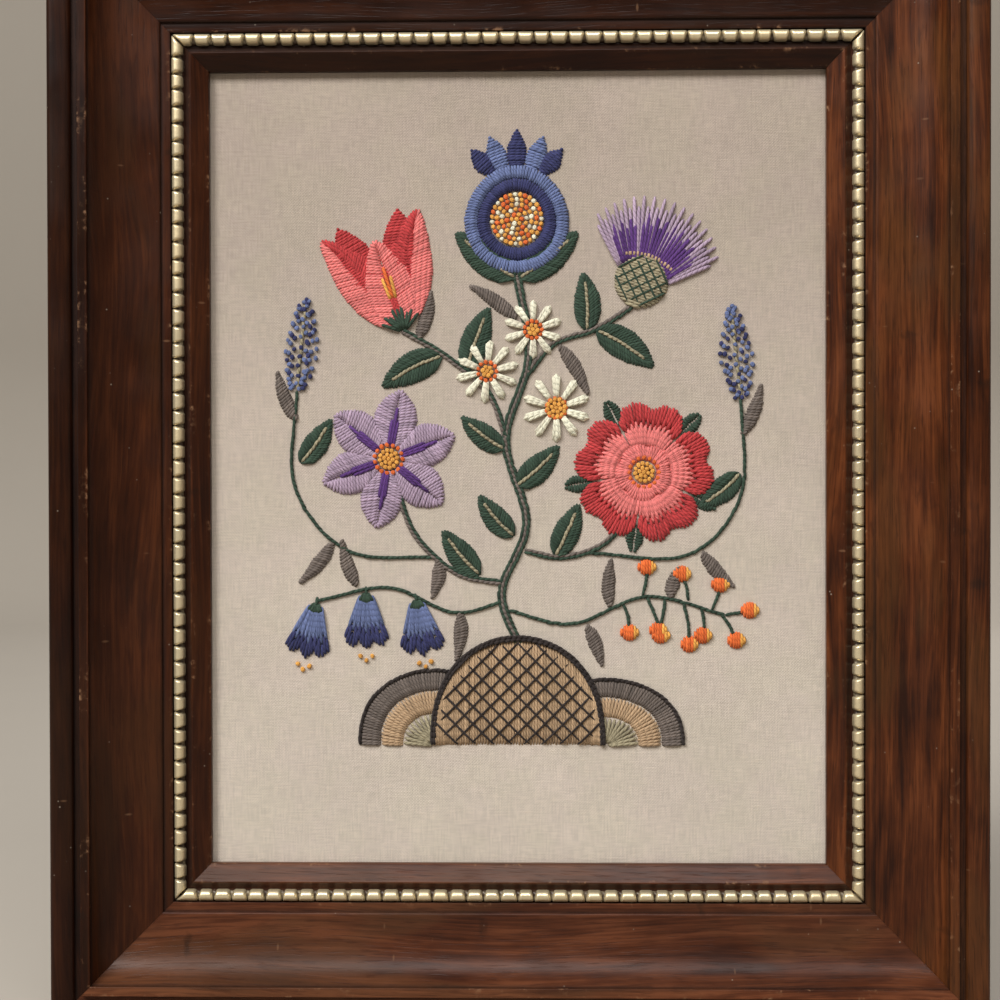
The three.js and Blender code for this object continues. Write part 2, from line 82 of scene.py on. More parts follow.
# Moulding section: distances out from the sight edge and heights above the back
SIGHT = (267.0, 344.0)
RAIL_WIDTH = 65.0
DEPTH = 34.0
GAP = 0.3
MITRE_GAP = 0.05
REBATE_WIDE, REBATE_DEEP = 6.2, 9.0
LIP_EDGE, LIP_RIDGE, LIP_RIDGE_OUT = 12.0, 17.0, 7.1
CHANNEL_FROM, CHANNEL_TO, CHANNEL_FLOOR = 10.1, 15.7, 14.8
STRIP_HIGH, STRIP_TO = 17.4, 19.8
SCOOP_FROM, SCOOP_TO, SCOOP_LOW, SCOOP_HIGH, SCOOP_HOLLOW = 21.1, 48.0, 18.6, 31.2, 4.5
FILLET_TO, FILLET_HIGH = 52.0, 33.2
COVE_TO, COVE_FLOOR = 54.8, 30.6
BAND_ROUND = 3.0

# The turn in degrees from which a corner is sharp, and how far a corner's mask reaches
SHARP_TURN = 25
MASK_REACH = 0.8

# Bead strip: half a notch's width, how it grows to the inner side and the slope of its walls; the shares of height and
# width left in a notch; stations in one bead; how far notches stray; the lowest bead's share; how far the ends lean
NOTCH_HALF, NOTCH_LEAN, NOTCH_SLOPE = 0.46, 0.56, 0.6
NOTCH_HIGH, NOTCH_WIDE = 0.34, 0.8
BEAD_STATIONS = (0.0, 0.06, 0.12, 0.18, 0.25, 0.36, 0.64, 0.75, 0.82, 0.88, 0.94)
BEAD_STRAY = 0.5
SHORTEST_BEAD = 0.88
MITRE_REACH = 2

# Tree of life: routes from the root outwards, rows of stem stitch and their wools
Stem = namedtuple("Stem", "rows route")
STEMS = (
    Stem(("green", "taupe", "green"), ((1, -78), (-7, -54), (4, -24), (-5, 12), (5, 48), (0, 84))),
    Stem(("green", "taupe"), ((-6, -50), (-26, -46), (-44, -30), (-53, -8))),
    Stem(("green", "taupe"), ((3, -36), (20, -39), (39, -32), (52, -14))),
    Stem(("green", "taupe"), ((-4, 10), (-12, 32), (-30, 48), (-50, 60))),
    Stem(("green", "taupe"), ((4, 40), (16, 54), (34, 60), (50, 70))),
    Stem(("green",), ((-6, -58), (-28, -63), (-56, -52), (-88, -58))),
    Stem(("green",), ((-36, -39), (-74, -36), (-97, -8), (-96, 34))),
    Stem(("green",), ((30, -37), (74, -38), (97, -12), (97, 30))),
)
BERRY_STEM = Stem(("green",), ((-4, -62), (24, -68), (56, -56), (90, -64)))

# Leaves: base, the way it points in degrees clockwise from up, and size
Leaf = namedtuple("Leaf", "x y points long wide bend")
GREEN_LEAVES = (
    Leaf(-16, -47, -48, 26, 12, 0.15), Leaf(16, -39, 30, 26, 12, -0.1), Leaf(-1, -30, -52, 24, 11, 0.2),
    Leaf(-1, -8, 58, 26, 12, -0.2), Leaf(-5, 8, -64, 24, 11, 0.2), Leaf(-32, 49, -106, 30, 14, -0.2),
    Leaf(34, 60, 112, 30, 14, 0.2), Leaf(0, 82, -58, 34, 15, 0.1), Leaf(0, 82, 58, 34, 15, -0.1),
    Leaf(-22, 42, 14, 30, 13, 0.1), Leaf(-95, 2, 46, 24, 11, -0.2), Leaf(97, -2, -140, 24, 11, 0.2),
    Leaf(30, 59, 8, 26, 12, -0.2),
)
TAUPE_LEAVES = (
    Leaf(-25, -62, 172, 22, 6.5, 0.25), Leaf(40, -61, -8, 22, 6.5, 0.2), Leaf(66, -57, 8, 15, 6.5, 0.2),
    Leaf(30, -68, 150, 20, 6.5, 0.2), Leaf(-70, -52, -28, 22, 6.5, 0.2), Leaf(18, 54, 140, 26, 6.5, 0.2),
    Leaf(0, 64, -42, 26, 6.5, -0.2), Leaf(-34, -39, 175, 18, 6.5, 0.3), Leaf(-44, 56, 34, 22, 6.5, -0.3),
    Leaf(-96, 20, -34, 24, 6.5, 0.25), Leaf(97, 14, 36, 24, 6.5, -0.25), Leaf(-80, -32, -150, 24, 6.5, 0.2),
    Leaf(80, -36, 150, 22, 6.5, -0.2),
)

# Flowers: centre or base and the way they point
Place = namedtuple("Place", "x y points")
POMEGRANATE = Place(0, 108, 0)
TULIP = Place(-50, 62, -18)
THISTLE = Place(50, 70, 20)
CLEMATIS = Place(-56, 4, 10)
ROSE = Place(55, -2, 8)
Daisy = namedtuple("Daisy", "x y points radius")
MARGUERITES = (Daisy(-13, 42, 5, 14), Daisy(17, 26, 0, 15), Daisy(7, 60, 0, 13))
BELLS = (Place(-88, -60, 192), Place(-66, -55.5, 180), Place(-44, -58.5, 172))
SPIKES = (Place(-96, 34, 6), Place(97, 30, -6))
Berry = namedtuple("Berry", "x y points stalk")
BERRIES = (
    Berry(46, -59, 168, 13), Berry(56, -56, 160, 18), Berry(64, -57, 192, 14), Berry(72, -58, 172, 19),
    Berry(80, -61, 178, 12), Berry(88, -63, 150, 14), Berry(90, -64, 80, 11), Berry(84, -62, 20, 12),
    Berry(74, -58, -12, 12), Berry(54, -56, 10, 13),
)
Hill = namedtuple("Hill", "x half high")
HILL_BASE = -121
MIDDLE_HILL = Hill(0, 37, 47)
SIDE_HILLS = (Hill(-36, 33, 33), Hill(38, 34, 29))
HILL_SHOULDER = 0.8
TRELLIS_PITCH = 6.5


# Settings

def srgb(red, green, blue):
    """Linear colour of an 8-bit display colour."""
    shares = np.array((red, green, blue)) / 255
    linear = np.where(shares <= 0.04045, shares / 12.92, ((shares + 0.055) / 1.055) ** 2.4)
    return tuple(float(value) for value in linear)


def colour(name, description, red, green, blue):
    """A colour setting from an 8-bit display colour."""
    return FloatVectorProperty(name=name, description=description, subtype="COLOR", size=3, min=0, max=1,
                               default=srgb(red, green, blue))


def size(name, description, millimetres):
    """A length setting."""
    return FloatProperty(name=name, description=description, default=millimetres * MM, min=0, unit="LENGTH",
                         precision=5)


def power(name, description, watts):
    """A light's power as a setting."""
    return FloatProperty(name=name, description=description, default=watts, min=0, unit="POWER")


class FrameSettings(bpy.types.PropertyGroup):
    """Walnut rails and gilt bead strips."""
    dark_wood: colour("Dark wood", "Deep stain between the grain streaks", 38, 16, 7)
    mid_wood: colour("Middle wood", "Main stain of the rails", 80, 39, 17)
    light_wood: colour("Light wood", "Light streaks of the grain", 118, 64, 32)
    ochre_wood: colour("Ochre wood", "Yellower patches where the stain is thin", 94, 61, 31)
    worn_wood: colour("Worn wood", "Bare wood on rubbed edges", 150, 112, 82)
    # Also paints shade: it darkens the inner corners and the whole bead channel.
    wood_dirt_and_shade: colour("Wood dirt", "Dark wax in the corners of the moulding", 16, 8, 6)
    dent: colour("Dent", "Small bruises in the wood", 22, 15, 10)
    dust: colour("Dust", "Pale specks on the wood", 190, 178, 160)
    gilt: colour("Gilt", "Leaf on the bead strip", 233, 217, 180)
    tarnish: colour("Tarnish", "Browner leaf in smears", 206, 180, 132)
    # Also paints shade: it darkens the notches between the beads.
    gilt_dirt: colour("Gilt dirt", "Dark wax in the notches of the bead strip", 52, 33, 18)
    corner: size("Corner rounding", "Rounding of the moulding's sharp corners", 0.35)
    bead_pitch: size("Bead pitch", "Distance from one bead to the next", 7.25)
    bead_wide: size("Bead width", "Width of the bead strip", 4.9)
    bead_high: size("Bead height", "Height of the bead strip above its channel", 3.9)


class LinenSettings(bpy.types.PropertyGroup):
    """Stretched linen and the board behind it."""
    linen: colour("Linen", "Main colour of the cloth", 208, 197, 185)
    slub: colour("Slub", "Darker thick threads", 186, 173, 158)
    board: colour("Board", "Hardboard behind the linen", 128, 98, 70)
    thread: size("Thread", "Distance from one linen thread to the next", 0.62)
    unevenness: size("Unevenness", "How far the stretched cloth strays from flat", 0.12)


class WoolSettings(bpy.types.PropertyGroup):
    """Crewel wools."""
    pitch: size("Pitch", "Distance from one satin stitch to the next", 1.25)
    strand: size("Strand", "Width of one laid strand", 1.5)
    lift: size("Lift", "Height of a strand's middle above the linen", 0.62)
    ply_turn: size("Ply turn", "Length of yarn in which its plies turn once", 2.6)
    seed: IntProperty(name="Seed", description="Seed of the hand's unevenness", default=7, min=0)
    coral: colour("Coral", "Rose and tulip edges", 186, 52, 54)
    pink: colour("Pink", "Rose and tulip hearts", 228, 122, 118)
    violet: colour("Violet", "Thistle and clematis stripes", 84, 44, 116)
    lilac: colour("Lilac", "Clematis petals", 172, 150, 172)
    navy: colour("Navy", "Pomegranate ring and bell mouths", 42, 46, 94)
    slate: colour("Slate blue", "Pomegranate rim and bells", 100, 114, 158)
    green: colour("Dark green", "Stems and broad leaves", 40, 64, 48)
    sage: colour("Sage", "Veins and thistle cup", 158, 148, 120)
    taupe: colour("Taupe", "Slender leaves", 108, 97, 90)
    gold: colour("Gold", "Knots of the flower centres", 236, 166, 74)
    orange: colour("Orange", "Berries and knots", 232, 108, 42)
    cream: colour("Cream", "Marguerite petals", 238, 228, 204)
    tan: colour("Tan", "Hillocks", 184, 154, 120)
    black: colour("Black brown", "Trellis and outlines of the hillocks", 36, 25, 22)


class StageSettings(bpy.types.PropertyGroup):
    """Camera, lights, floor and backdrop."""
    camera_at: FloatVectorProperty(name="Camera", description="Place of the camera", subtype="TRANSLATION",
                                   unit="LENGTH", size=3, default=(0.0072, -0.7025, 0.2303))
    camera_turn: FloatVectorProperty(name="Camera turn", description="Pitch, roll and yaw off the straight view",
                                     subtype="EULER", unit="ROTATION", size=3,
                                     default=(radians(-0.584), radians(-0.116), radians(1.19)))
    lens: FloatProperty(name="Lens", description="Focal length on a 36 mm sensor", default=58.77, unit="CAMERA")
    key_power: power("Key light", "Power of the broad light from the upper left", 137.0)
    front_power: power("Front light", "Power of the light above the camera", 11.0)
    rear_power: power("Rear light", "Power of the light behind the frame", 65.0)
    surround: FloatProperty(name="Surround", description="Strength of the even light all round", default=0.07, min=0)
    pale: colour("Pale", "Floor and backdrop", 164, 156, 145)


THREADS = ("coral", "pink", "violet", "lilac", "navy", "slate", "green", "sage", "taupe", "gold", "orange",
           "cream", "tan", "black")


# Meshes

def stacked(*parts):
    """Arrays or numbers of any fitting shapes, side by side along a new last axis."""
    return np.stack(np.broadcast_arrays(*parts), axis=-1)


def make_piece(name, points, polygons, corner_uvs, finishes, finish_of=None, values=None, crisp=None):
    """A mesh from arrays: points, lists of polygon arrays with their UVs, and finishes.

    Edges that turn by over `crisp` degrees stay hard, and `values` are kept at the points.
    """
    mesh = bpy.data.meshes.new(name)
    if enclosed_volume(points, polygons) < 0:
        polygons = [corners[:, ::-1] for corners in polygons]
        corner_uvs = [uv[:, ::-1] for uv in corner_uvs]
    totals = np.concatenate([np.full(len(corners), corners.shape[1]) for corners in polygons])
    loop_corners = np.concatenate([corners.ravel() for corners in polygons])
    mesh.vertices.add(len(points))
    mesh.vertices.foreach_set("co", points.astype(np.float32).ravel())
    mesh.loops.add(len(loop_corners))
    mesh.loops.foreach_set("vertex_index", loop_corners.astype(np.int32))
    mesh.polygons.add(len(totals))
    mesh.polygons.foreach_set("loop_start", (np.cumsum(totals) - totals).astype(np.int32))
    mesh.polygons.foreach_set("use_smooth", np.ones(len(totals), dtype=bool))
    if finish_of is not None:
        mesh.polygons.foreach_set("material_index", finish_of.astype(np.int32))
    mesh.update(calc_edges=True)
    if crisp is not None:
        mesh.set_sharp_from_angle(angle=radians(crisp))
    layer = mesh.uv_layers.new(name="Along")
    layer.data.foreach_set("uv", np.concatenate([uv.reshape(-1) for uv in corner_uvs]).astype(np.float32))
    for label, amounts in (values or {}).items():
        mesh.attributes.new(label, "FLOAT", "POINT").data.foreach_set("value", amounts.astype(np.float32))
    for finish in finishes:
        mesh.materials.append(finish)
    piece = bpy.data.objects.new(name, mesh)
    bpy.context.scene.collection.objects.link(piece)
    return piece


def enclosed_volume(points, polygons):
    """Sum over each polygon's fan of triangles of the signed volume to the points' middle."""
    centred = points - points.mean(axis=0)
    total = 0.0
    for corners in polygons:
        first = centred[corners[:, 0]]
        for step in range(1, corners.shape[1] - 1):
            second, third = centred[corners[:, step]], centred[corners[:, step + 1]]
            total += np.einsum("ij,ij->i", first, np.cross(second, third)).sum()
    return total


def tube_corners(rings, sides):
    """Ring and side of each corner of a tube's wall quads; past the last side comes number `sides`, at the seam."""
    ring, side = np.meshgrid(np.arange(rings - 1), np.arange(sides), indexing="ij")
    return (stacked(ring, ring, ring + 1, ring + 1).reshape(-1, 4),
            stacked(side, side + 1, side + 1, side).reshape(-1, 4))


def tube_polygons(count, rings, sides):
    """Corner numbers of `count` closed tubes, each `rings` loops of `sides` points: wall quads and end polygons."""
    ring, side = tube_corners(rings, sides)
    wall = ring * sides + side % sides
    ends = np.stack((np.arange(sides)[::-1], (rings - 1) * sides + np.arange(sides)))
    start = (np.arange(count) * rings * sides)[:, None, None]
    return (start + wall).reshape(-1, 4), (start + ends).reshape(-1, sides)


def tube_uvs(run, sides):
    """UVs of the tubes: u is the run along each tube, v the share of the way round."""
    ring, side = tube_corners(run.shape[1], sides)
    wall = stacked(run[:, ring], side / sides)
    ends = stacked(run[:, (0, -1)], 0.5)
    return wall.reshape(-1, 4, 2), np.repeat(ends.reshape(-1, 1, 2), sides, axis=1)


def on_picture(across, up, proud):
    """Picture-plane millimetres, with a height above the linen, as places in the shared frame."""
    return stacked(across * MM, LINEN_FRONT - proud * MM, PICTURE_MIDDLE + up * MM)


def finish_piece(piece, nodes):
    """The piece rides on the one body and stands for these solids."""
    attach(piece, "root")
    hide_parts(*nodes)


def nodes_named(prefix):
    """The solids whose names are the prefix or start with it."""
    return sorted(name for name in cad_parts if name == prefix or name.startswith(prefix + "_"))


# Shader node groups

def new_group(name, inputs, outputs):
    """An empty shader node group with named sockets, and its two end nodes."""
    group = bpy.data.node_groups.new(name, "ShaderNodeTree")
    for label, kind, default in inputs:
        socket = group.interface.new_socket(name=label, in_out="INPUT", socket_type=kind)
        socket.default_value = default
    for label, kind in outputs:
        group.interface.new_socket(name=label, in_out="OUTPUT", socket_type=kind)
    entry = group.nodes.new("NodeGroupInput")
    leave = group.nodes.new("NodeGroupOutput")
    return group, entry, leave


def values_named(*labels):
    """Group outputs that hold plain values."""
    return [(label, "NodeSocketFloat") for label in labels]


class Wires:
    """Short calls that add nodes to a tree and join them."""

    def __init__(self, tree):
        self.tree = tree

    def node(self, kind, settings=None, **inputs):
        made = self.tree.nodes.new(kind)
        for label, value in (settings or {}).items():
            setattr(made, label, value)
        for label, value in inputs.items():
            self.feed(made.inputs[label.replace("_", " ")], value)
        return made

    def feed(self, socket, value):
        if isinstance(value, bpy.types.NodeSocket):
            self.tree.links.new(value, socket)
        else:
            socket.default_value = value

    def place(self):
        """Object coordinates: metres in the shared frame."""
        return self.node("ShaderNodeTexCoord").outputs["Object"]

    def along(self):
        """The piece's own UV map."""
        return self.node("ShaderNodeUVMap", {"uv_map": "Along"}).outputs["UV"]

    def mask(self, name):
        """The value that the mesh's points keep under this name."""
        return self.node("ShaderNodeAttribute", {"attribute_name": name}).outputs["Fac"]

    def math(self, operation, first, second=0.0):
        made = self.node("ShaderNodeMath", {"operation": operation})
        self.feed(made.inputs[0], first)
        self.feed(made.inputs[1], second)
        return made.outputs[0]

    def times(self, first, second):
        return self.math("MULTIPLY", first, second)

    def plus(self, first, second):
        return self.math("ADD", first, second)

    def total(self, *parts):
        """Sum of values, each times its share."""
        shares = [self.times(value, share) for value, share in parts]
        summed = shares[0]
        for share in shares[1:]:
            summed = self.plus(summed, share)
        return summed

    def spread(self, value, low, high, new_low=0.0, new_high=1.0):
        """A smooth step between two values, carried to two others."""
        made = self.node("ShaderNodeMapRange", {"interpolation_type": "SMOOTHSTEP"})
        for label, amount in zip(("Value", "From Min", "From Max", "To Min", "To Max"),
                                 (value, low, high, new_low, new_high)):
            self.feed(made.inputs[label], amount)
        return made.outputs["Result"]

    def blend(self, factor, first, second, mode="MIX"):
        made = self.node("ShaderNodeMix", {"data_type": "RGBA", "blend_type": mode})
        for label, value in (("Factor", factor), ("A", first), ("B", second)):
            self.feed(made.inputs[label], value)
        return made.outputs["Result"]

    def grey(self, shade):
        return self.node("ShaderNodeCombineColor", Red=shade, Green=shade, Blue=shade).outputs["Color"]

    def stretch(self, vector, along, across, third=1.0):
        return self.node("ShaderNodeMapping", Vector=vector, Scale=(along, across, third)).outputs["Vector"]

    def strayed(self, vector, by, share):
        """The vector with a share of another one added."""
        made = self.node("ShaderNodeVectorMath", {"operation": "MULTIPLY_ADD"})
        for socket, value in zip(made.inputs, (by, share, vector)):
            self.feed(socket, value)
        return made.outputs["Vector"]

    def noise(self, vector, scale, detail=4.0, roughness=0.55):
        return self.node("ShaderNodeTexNoise", Vector=vector, Scale=scale, Detail=detail,
                         Roughness=roughness).outputs["Fac"]

    def spots(self, vector, rarity, inner, outer):
        """A soft round spot in each Voronoi cell whose random value is over the rarity."""
        cells = self.node("ShaderNodeTexVoronoi", Vector=vector, Scale=1.0)
        drawn = self.node("ShaderNodeSeparateColor", Color=cells.outputs["Color"]).outputs["Red"]
        spot = self.spread(cells.outputs["Distance"], inner, outer, 1.0, 0.0)
        return self.times(spot, self.spread(drawn, rarity, rarity + 0.01))

    def bump(self, height, strength, distance):
        return self.node("ShaderNodeBump", Height=height, Strength=strength, Distance=distance).outputs["Normal"]


def rgba(values):
    """A colour with full alpha."""
    return (values[0], values[1], values[2], 1.0)


# Noise of the wood, in waves per metre along the rail and across it
SWAY, SWAY_BY = (3.0, 14.0), 0.035
STREAK, FIGURE, FIGURE_BANDS = (17.0, 640.0), (6.0, 80.0), 6.0
BLOTCH, OCHRE_PATCH = (16.0, 34.0), (9.0, 26.0, 4.0)
PORE, FLECK = (70.0, 1500.0), (60.0, 420.0)
DENT, NICK = (95.0, 42.0), (240.0, 80.0)
DENT_CRUMBLE, DENT_CRUMBLE_BY = 260.0, 0.006

# Noise of rubbed places in waves per metre: worn patches, fine nicks, dust specks and their groups, smears
WORN_PATCH, FINE_NICK, SPECK, SPECK_GROUP, SMEAR = 90.0, 420.0, 230.0, 95.0, 26.0

# Linen: slubs along the weft and the warp in waves per metre, and how far the threads wander
WEFT_SLUB, WARP_SLUB = (150.0, 1500.0), (1500.0, 110.0)
WANDER, WANDER_BY = 60.0, 0.0022
CLOUD, MOTTLE = 14.0, 38.0

# Wool: loose fibres in waves per metre
LOOSE_FIBRE = 2600.0


def wood_grain_group():
    """Streaks along the board from stretched noise, broad figure bands, blotches of stain, dark flecks and pores.

    Dents are small ragged dark spots and nicks are shorter pale ones, each in a few cells of a Voronoi texture.
    """
    tones = [(label, "NodeSocketColor", (0, 0, 0, 1)) for label in ("Dark", "Middle", "Light", "Ochre")]
    group, entry, leave = new_group("wood_grain", [("Vector", "NodeSocketVector", (0, 0, 0))] + tones,
                                    [("Color", "NodeSocketColor")] + values_named("Pores", "Dents", "Nicks"))
    wires = Wires(group)
    along = entry.outputs["Vector"]
    sway = wires.noise(wires.stretch(along, *SWAY), 1.0, 2.0)
    swayed = wires.strayed(along, wires.node("ShaderNodeCombineXYZ", Y=sway).outputs["Vector"], (0.0, SWAY_BY, 0.0))
    streak = wires.noise(wires.stretch(swayed, *STREAK), 1.0, 4.0, 0.6)
    broad = wires.noise(wires.stretch(swayed, *FIGURE), 1.0, 4.0, 0.55)
    blotch = wires.noise(wires.stretch(along, *BLOTCH), 1.0, 4.0, 0.6)
    bands = wires.math("FRACT", wires.times(broad, FIGURE_BANDS))
    bands = wires.math("ABSOLUTE", wires.math("SUBTRACT", wires.times(bands, 2.0), 1.0))
    pores = wires.spread(wires.noise(wires.stretch(swayed, *PORE), 1.0, 2.0, 0.5), 0.56, 0.72)
    tone = wires.total((streak, 0.55), (bands, 0.12), (broad, 0.25), (blotch, 0.6))
    low = wires.blend(wires.spread(tone, 0.57, 0.76), entry.outputs["Dark"], entry.outputs["Middle"])
    full = wires.blend(wires.spread(tone, 0.72, 0.93), low, entry.outputs["Light"])
    patch = wires.noise(wires.stretch(along, *OCHRE_PATCH), 1.0, 3.0, 0.55)
    full = wires.blend(wires.spread(patch, 0.48, 0.62, 0.0, 0.45), full, entry.outputs["Ochre"])
    fleck = wires.spread(wires.noise(wires.stretch(swayed, *FLECK), 1.0, 3.0, 0.55), 0.55, 0.7)
    dark_share = wires.math("MAXIMUM", wires.times(pores, 0.55), wires.times(fleck, 0.5))
    wires.feed(leave.inputs["Color"], wires.blend(dark_share, full, entry.outputs["Dark"]))
    wires.feed(leave.inputs["Pores"], pores)
    crumble = wires.node("ShaderNodeTexNoise", Vector=along, Scale=DENT_CRUMBLE, Detail=1.0).outputs["Color"]
    ragged = wires.strayed(along, crumble, (DENT_CRUMBLE_BY, DENT_CRUMBLE_BY, 0.0))
    wires.feed(leave.inputs["Dents"], wires.spots(wires.stretch(ragged, *DENT), 0.88, 0.05, 0.28))
    wires.feed(leave.inputs["Nicks"], wires.spots(wires.stretch(along, *NICK), 0.96, 0.06, 0.18))
    return group


def rubbing_group():
    """Wear where an edge mask and a patchy noise meet, dirt and painted shade where a cavity mask is, sparse dust
    specks and smears.
    """
    group, entry, leave = new_group(
        "rubbing", [("Edge", "NodeSocketFloat", 0.0), ("Cavity", "NodeSocketFloat", 0.0),
                    ("Patches", "NodeSocketFloat", WORN_PATCH)],
        values_named("Wear", "Dirt", "Dust", "Smears"))
    wires = Wires(group)
    place = wires.place()
    patch = wires.noise(place, entry.outputs["Patches"], 5.0, 0.65)
    nick = wires.noise(place, FINE_NICK, 3.0, 0.6)
    rubbed = wires.spread(wires.total((patch, 0.6), (nick, 0.4)), 0.55, 0.67)
    wires.feed(leave.inputs["Wear"], wires.times(entry.outputs["Edge"], rubbed))
    # Dirt and painted shade: the cavity mask, a little patchy.
    wires.feed(leave.inputs["Dirt"], wires.times(entry.outputs["Cavity"], wires.spread(patch, 0.25, 0.6, 0.55, 1.0)))
    speck = wires.node("ShaderNodeTexVoronoi", Vector=place, Scale=SPECK).outputs["Distance"]
    chance = wires.spread(wires.noise(place, SPECK_GROUP, 2.0), 0.6, 0.68)
    wires.feed(leave.inputs["Dust"], wires.times(wires.spread(speck, 0.12, 0.02), chance))
    wires.feed(leave.inputs["Smears"], wires.noise(place, SMEAR, 3.0, 0.6))
    return group


def plain_weave_group():
    """Over-and-under threads: two crossed sine ribs that swap by checker, with slubs from stretched noise."""
    group, entry, leave = new_group(
        "plain_weave", [("Vector", "NodeSocketVector", (0, 0, 0)), ("Threads", "NodeSocketFloat", 1600.0)],
        values_named("Height", "Slub", "Tone"))
    wires = Wires(group)
    along = entry.outputs["Vector"]
    shift = wires.times(wires.noise(along, WANDER, 2.0), WANDER_BY)
    apart = wires.node("ShaderNodeSeparateXYZ", Vector=along)
    waves = []
    for axis in "XY":
        thread = wires.times(wires.plus(apart.outputs[axis], shift), entry.outputs["Threads"])
        waves.append(wires.math("SINE", wires.times(thread, pi)))
    over = wires.times(*waves)
    ribs = wires.plus(*(wires.math("ABSOLUTE", wave) for wave in waves))
    across = wires.noise(wires.stretch(along, *WEFT_SLUB), 1.0, 3.0, 0.6)
    upright = wires.noise(wires.stretch(along, *WARP_SLUB), 1.0, 3.0, 0.6)
    slub = wires.math("MAXIMUM", wires.spread(across, 0.56, 0.76), wires.spread(upright, 0.58, 0.78))
    wires.feed(leave.inputs["Height"], wires.total((over, 0.35), (ribs, 0.3), (slub, 0.5)))
    wires.feed(leave.inputs["Slub"], slub)
    wires.feed(leave.inputs["Tone"], wires.total((across, 0.5), (upright, 0.5)))
    return group


def wool_ply_group():
    """Two plies wound round each other: a sine of the run along the yarn plus twice the way round; loose fibres."""
    group, entry, leave = new_group(
        "wool_ply", [("Along", "NodeSocketVector", (0, 0, 0)), ("Turns", "NodeSocketFloat", 400.0)],
        values_named("Height", "Groove", "Fibre"))
    wires = Wires(group)
    apart = wires.node("ShaderNodeSeparateXYZ", Vector=entry.outputs["Along"])
    wound = wires.total((apart.outputs["X"], entry.outputs["Turns"]), (apart.outputs["Y"], 2.0))
    ply = wires.math("ABSOLUTE", wires.math("SINE", wires.times(wound, pi)))
    fibre = wires.noise(wires.place(), LOOSE_FIBRE, 3.0, 0.7)
    wires.feed(leave.inputs["Height"], wires.plus(ply, wires.times(fibre, 0.7)))
    wires.feed(leave.inputs["Groove"], wires.spread(ply, 0.45, 0.0))
    wires.feed(leave.inputs["Fibre"], fibre)
    return group


def group_node(wires, maker, name, **inputs):
    """A node of a shared group, which is made at its first use."""
    group = bpy.data.node_groups.get(name) or maker()
    made = wires.node("ShaderNodeGroup", {"node_tree": group})
    for label, value in inputs.items():
        wires.feed(made.inputs[label], value)
    return made


def new_material(name):
    """A material with the means to wire it and its shader."""
    material = bpy.data.materials.new(name)
    material.use_nodes = True
    tree = material.node_tree
    return material, Wires(tree), tree.nodes["Principled BSDF"]


# Finishes

def walnut_finish(settings, side, offset):
    """Stained walnut: grain along the rail's own length, semi-gloss, rubbed at the edges, dark with wax and painted
    shade in the corners and the bead channel, and with painted light in each rail's stain.
    """
    material, wires, surface = new_material("stained_walnut_" + side.name)
    tones = np.array((settings.dark_wood, settings.mid_wood, settings.light_wood, settings.ochre_wood))
    # Each rail's stain carries painted light: painted shade on the top and left rails, a greyer painted sheen on the
    # bottom rail.
    tones = np.array(side.stain) * (tones[1] + side.figure * (tones - tones[1]))
    dark, middle, light, ochre = (rgba(tone) for tone in tones)
    placed = wires.node("ShaderNodeMapping", Vector=wires.along(), Location=(offset, offset * 1.7, 0)).outputs["Vector"]
    grain = group_node(wires, wood_grain_group, "wood_grain", Vector=placed, Dark=dark, Middle=middle, Light=light,
                       Ochre=ochre)
    rubbing = group_node(wires, rubbing_group, "rubbing", Edge=wires.mask("edge"), Cavity=wires.mask("cavity"))
    # The outer band and fillet: a darker stain, with painted shade on the left rail and painted light on the bottom
    # rail.
    shade = wires.grey(wires.spread(wires.mask("outer"), 0.0, 1.0, 1.0, side.outer_stain))
    tone = wires.blend(1.0, grain.outputs["Color"], shade, "MULTIPLY")
    # Dirt and painted shade from the cavity mask come first, then dents, nicks, wear and dust.
    for mark, share, over in ((rubbing.outputs["Dirt"], 0.6, settings.wood_dirt_and_shade),
                              (grain.outputs["Dents"], 0.5, settings.dent),
                              (grain.outputs["Nicks"], 0.3, settings.worn_wood),
                              (rubbing.outputs["Wear"], 0.75, settings.worn_wood),
                              (rubbing.outputs["Dust"], 0.5, settings.dust)):
        tone = wires.blend(wires.times(mark, share), tone, rgba(over))
    wires.feed(surface.inputs["Base Color"], tone)
    rough = wires.spread(rubbing.outputs["Smears"], 0.3, 0.7, 0.29, 0.44)
    rough = wires.plus(rough, wires.times(rubbing.outputs["Wear"], 0.2))
    rough = wires.plus(rough, wires.times(rubbing.outputs["Dirt"], 0.4))
    wires.feed(surface.inputs["Roughness"], rough)
    surface.inputs["Specular IOR Level"].default_value = 0.16
    surface.inputs["Coat Weight"].default_value = 0.07
    surface.inputs["Coat Roughness"].default_value = 0.22
    pits = wires.times(grain.outputs["Pores"], -0.6)
    wires.feed(surface.inputs["Normal"], wires.bump(pits, 0.35, 0.25 * MM))
    return material


def gilt_finish(settings):
    """Champagne leaf on the beads, a little tarnished in smears, with dark wax and painted shade in the notches."""
    material, wires, surface = new_material("gilt_leaf")
    rubbing = group_node(wires, rubbing_group, "rubbing", Edge=wires.mask("edge"), Cavity=wires.mask("cavity"),
                         Patches=240.0)
    tarnished = wires.spread(rubbing.outputs["Smears"], 0.35, 0.75, 0.0, 0.35)
    tone = wires.blend(tarnished, rgba(settings.gilt), rgba(settings.tarnish))
    # Dark wax and painted shade in the notches, where the leaf is also less metallic.
    tone = wires.blend(rubbing.outputs["Dirt"], tone, rgba(settings.gilt_dirt))
    wires.feed(surface.inputs["Base Color"], tone)
    wires.feed(surface.inputs["Metallic"], wires.math("SUBTRACT", 0.68, wires.times(rubbing.outputs["Dirt"], 0.6)))
    wires.feed(surface.inputs["Roughness"], wires.spread(rubbing.outputs["Smears"], 0.3, 0.7, 0.3, 0.5))
    wires.feed(surface.inputs["Normal"], wires.bump(wires.noise(wires.place(), 700.0, 3.0), 0.3, 0.2 * MM))
    return material


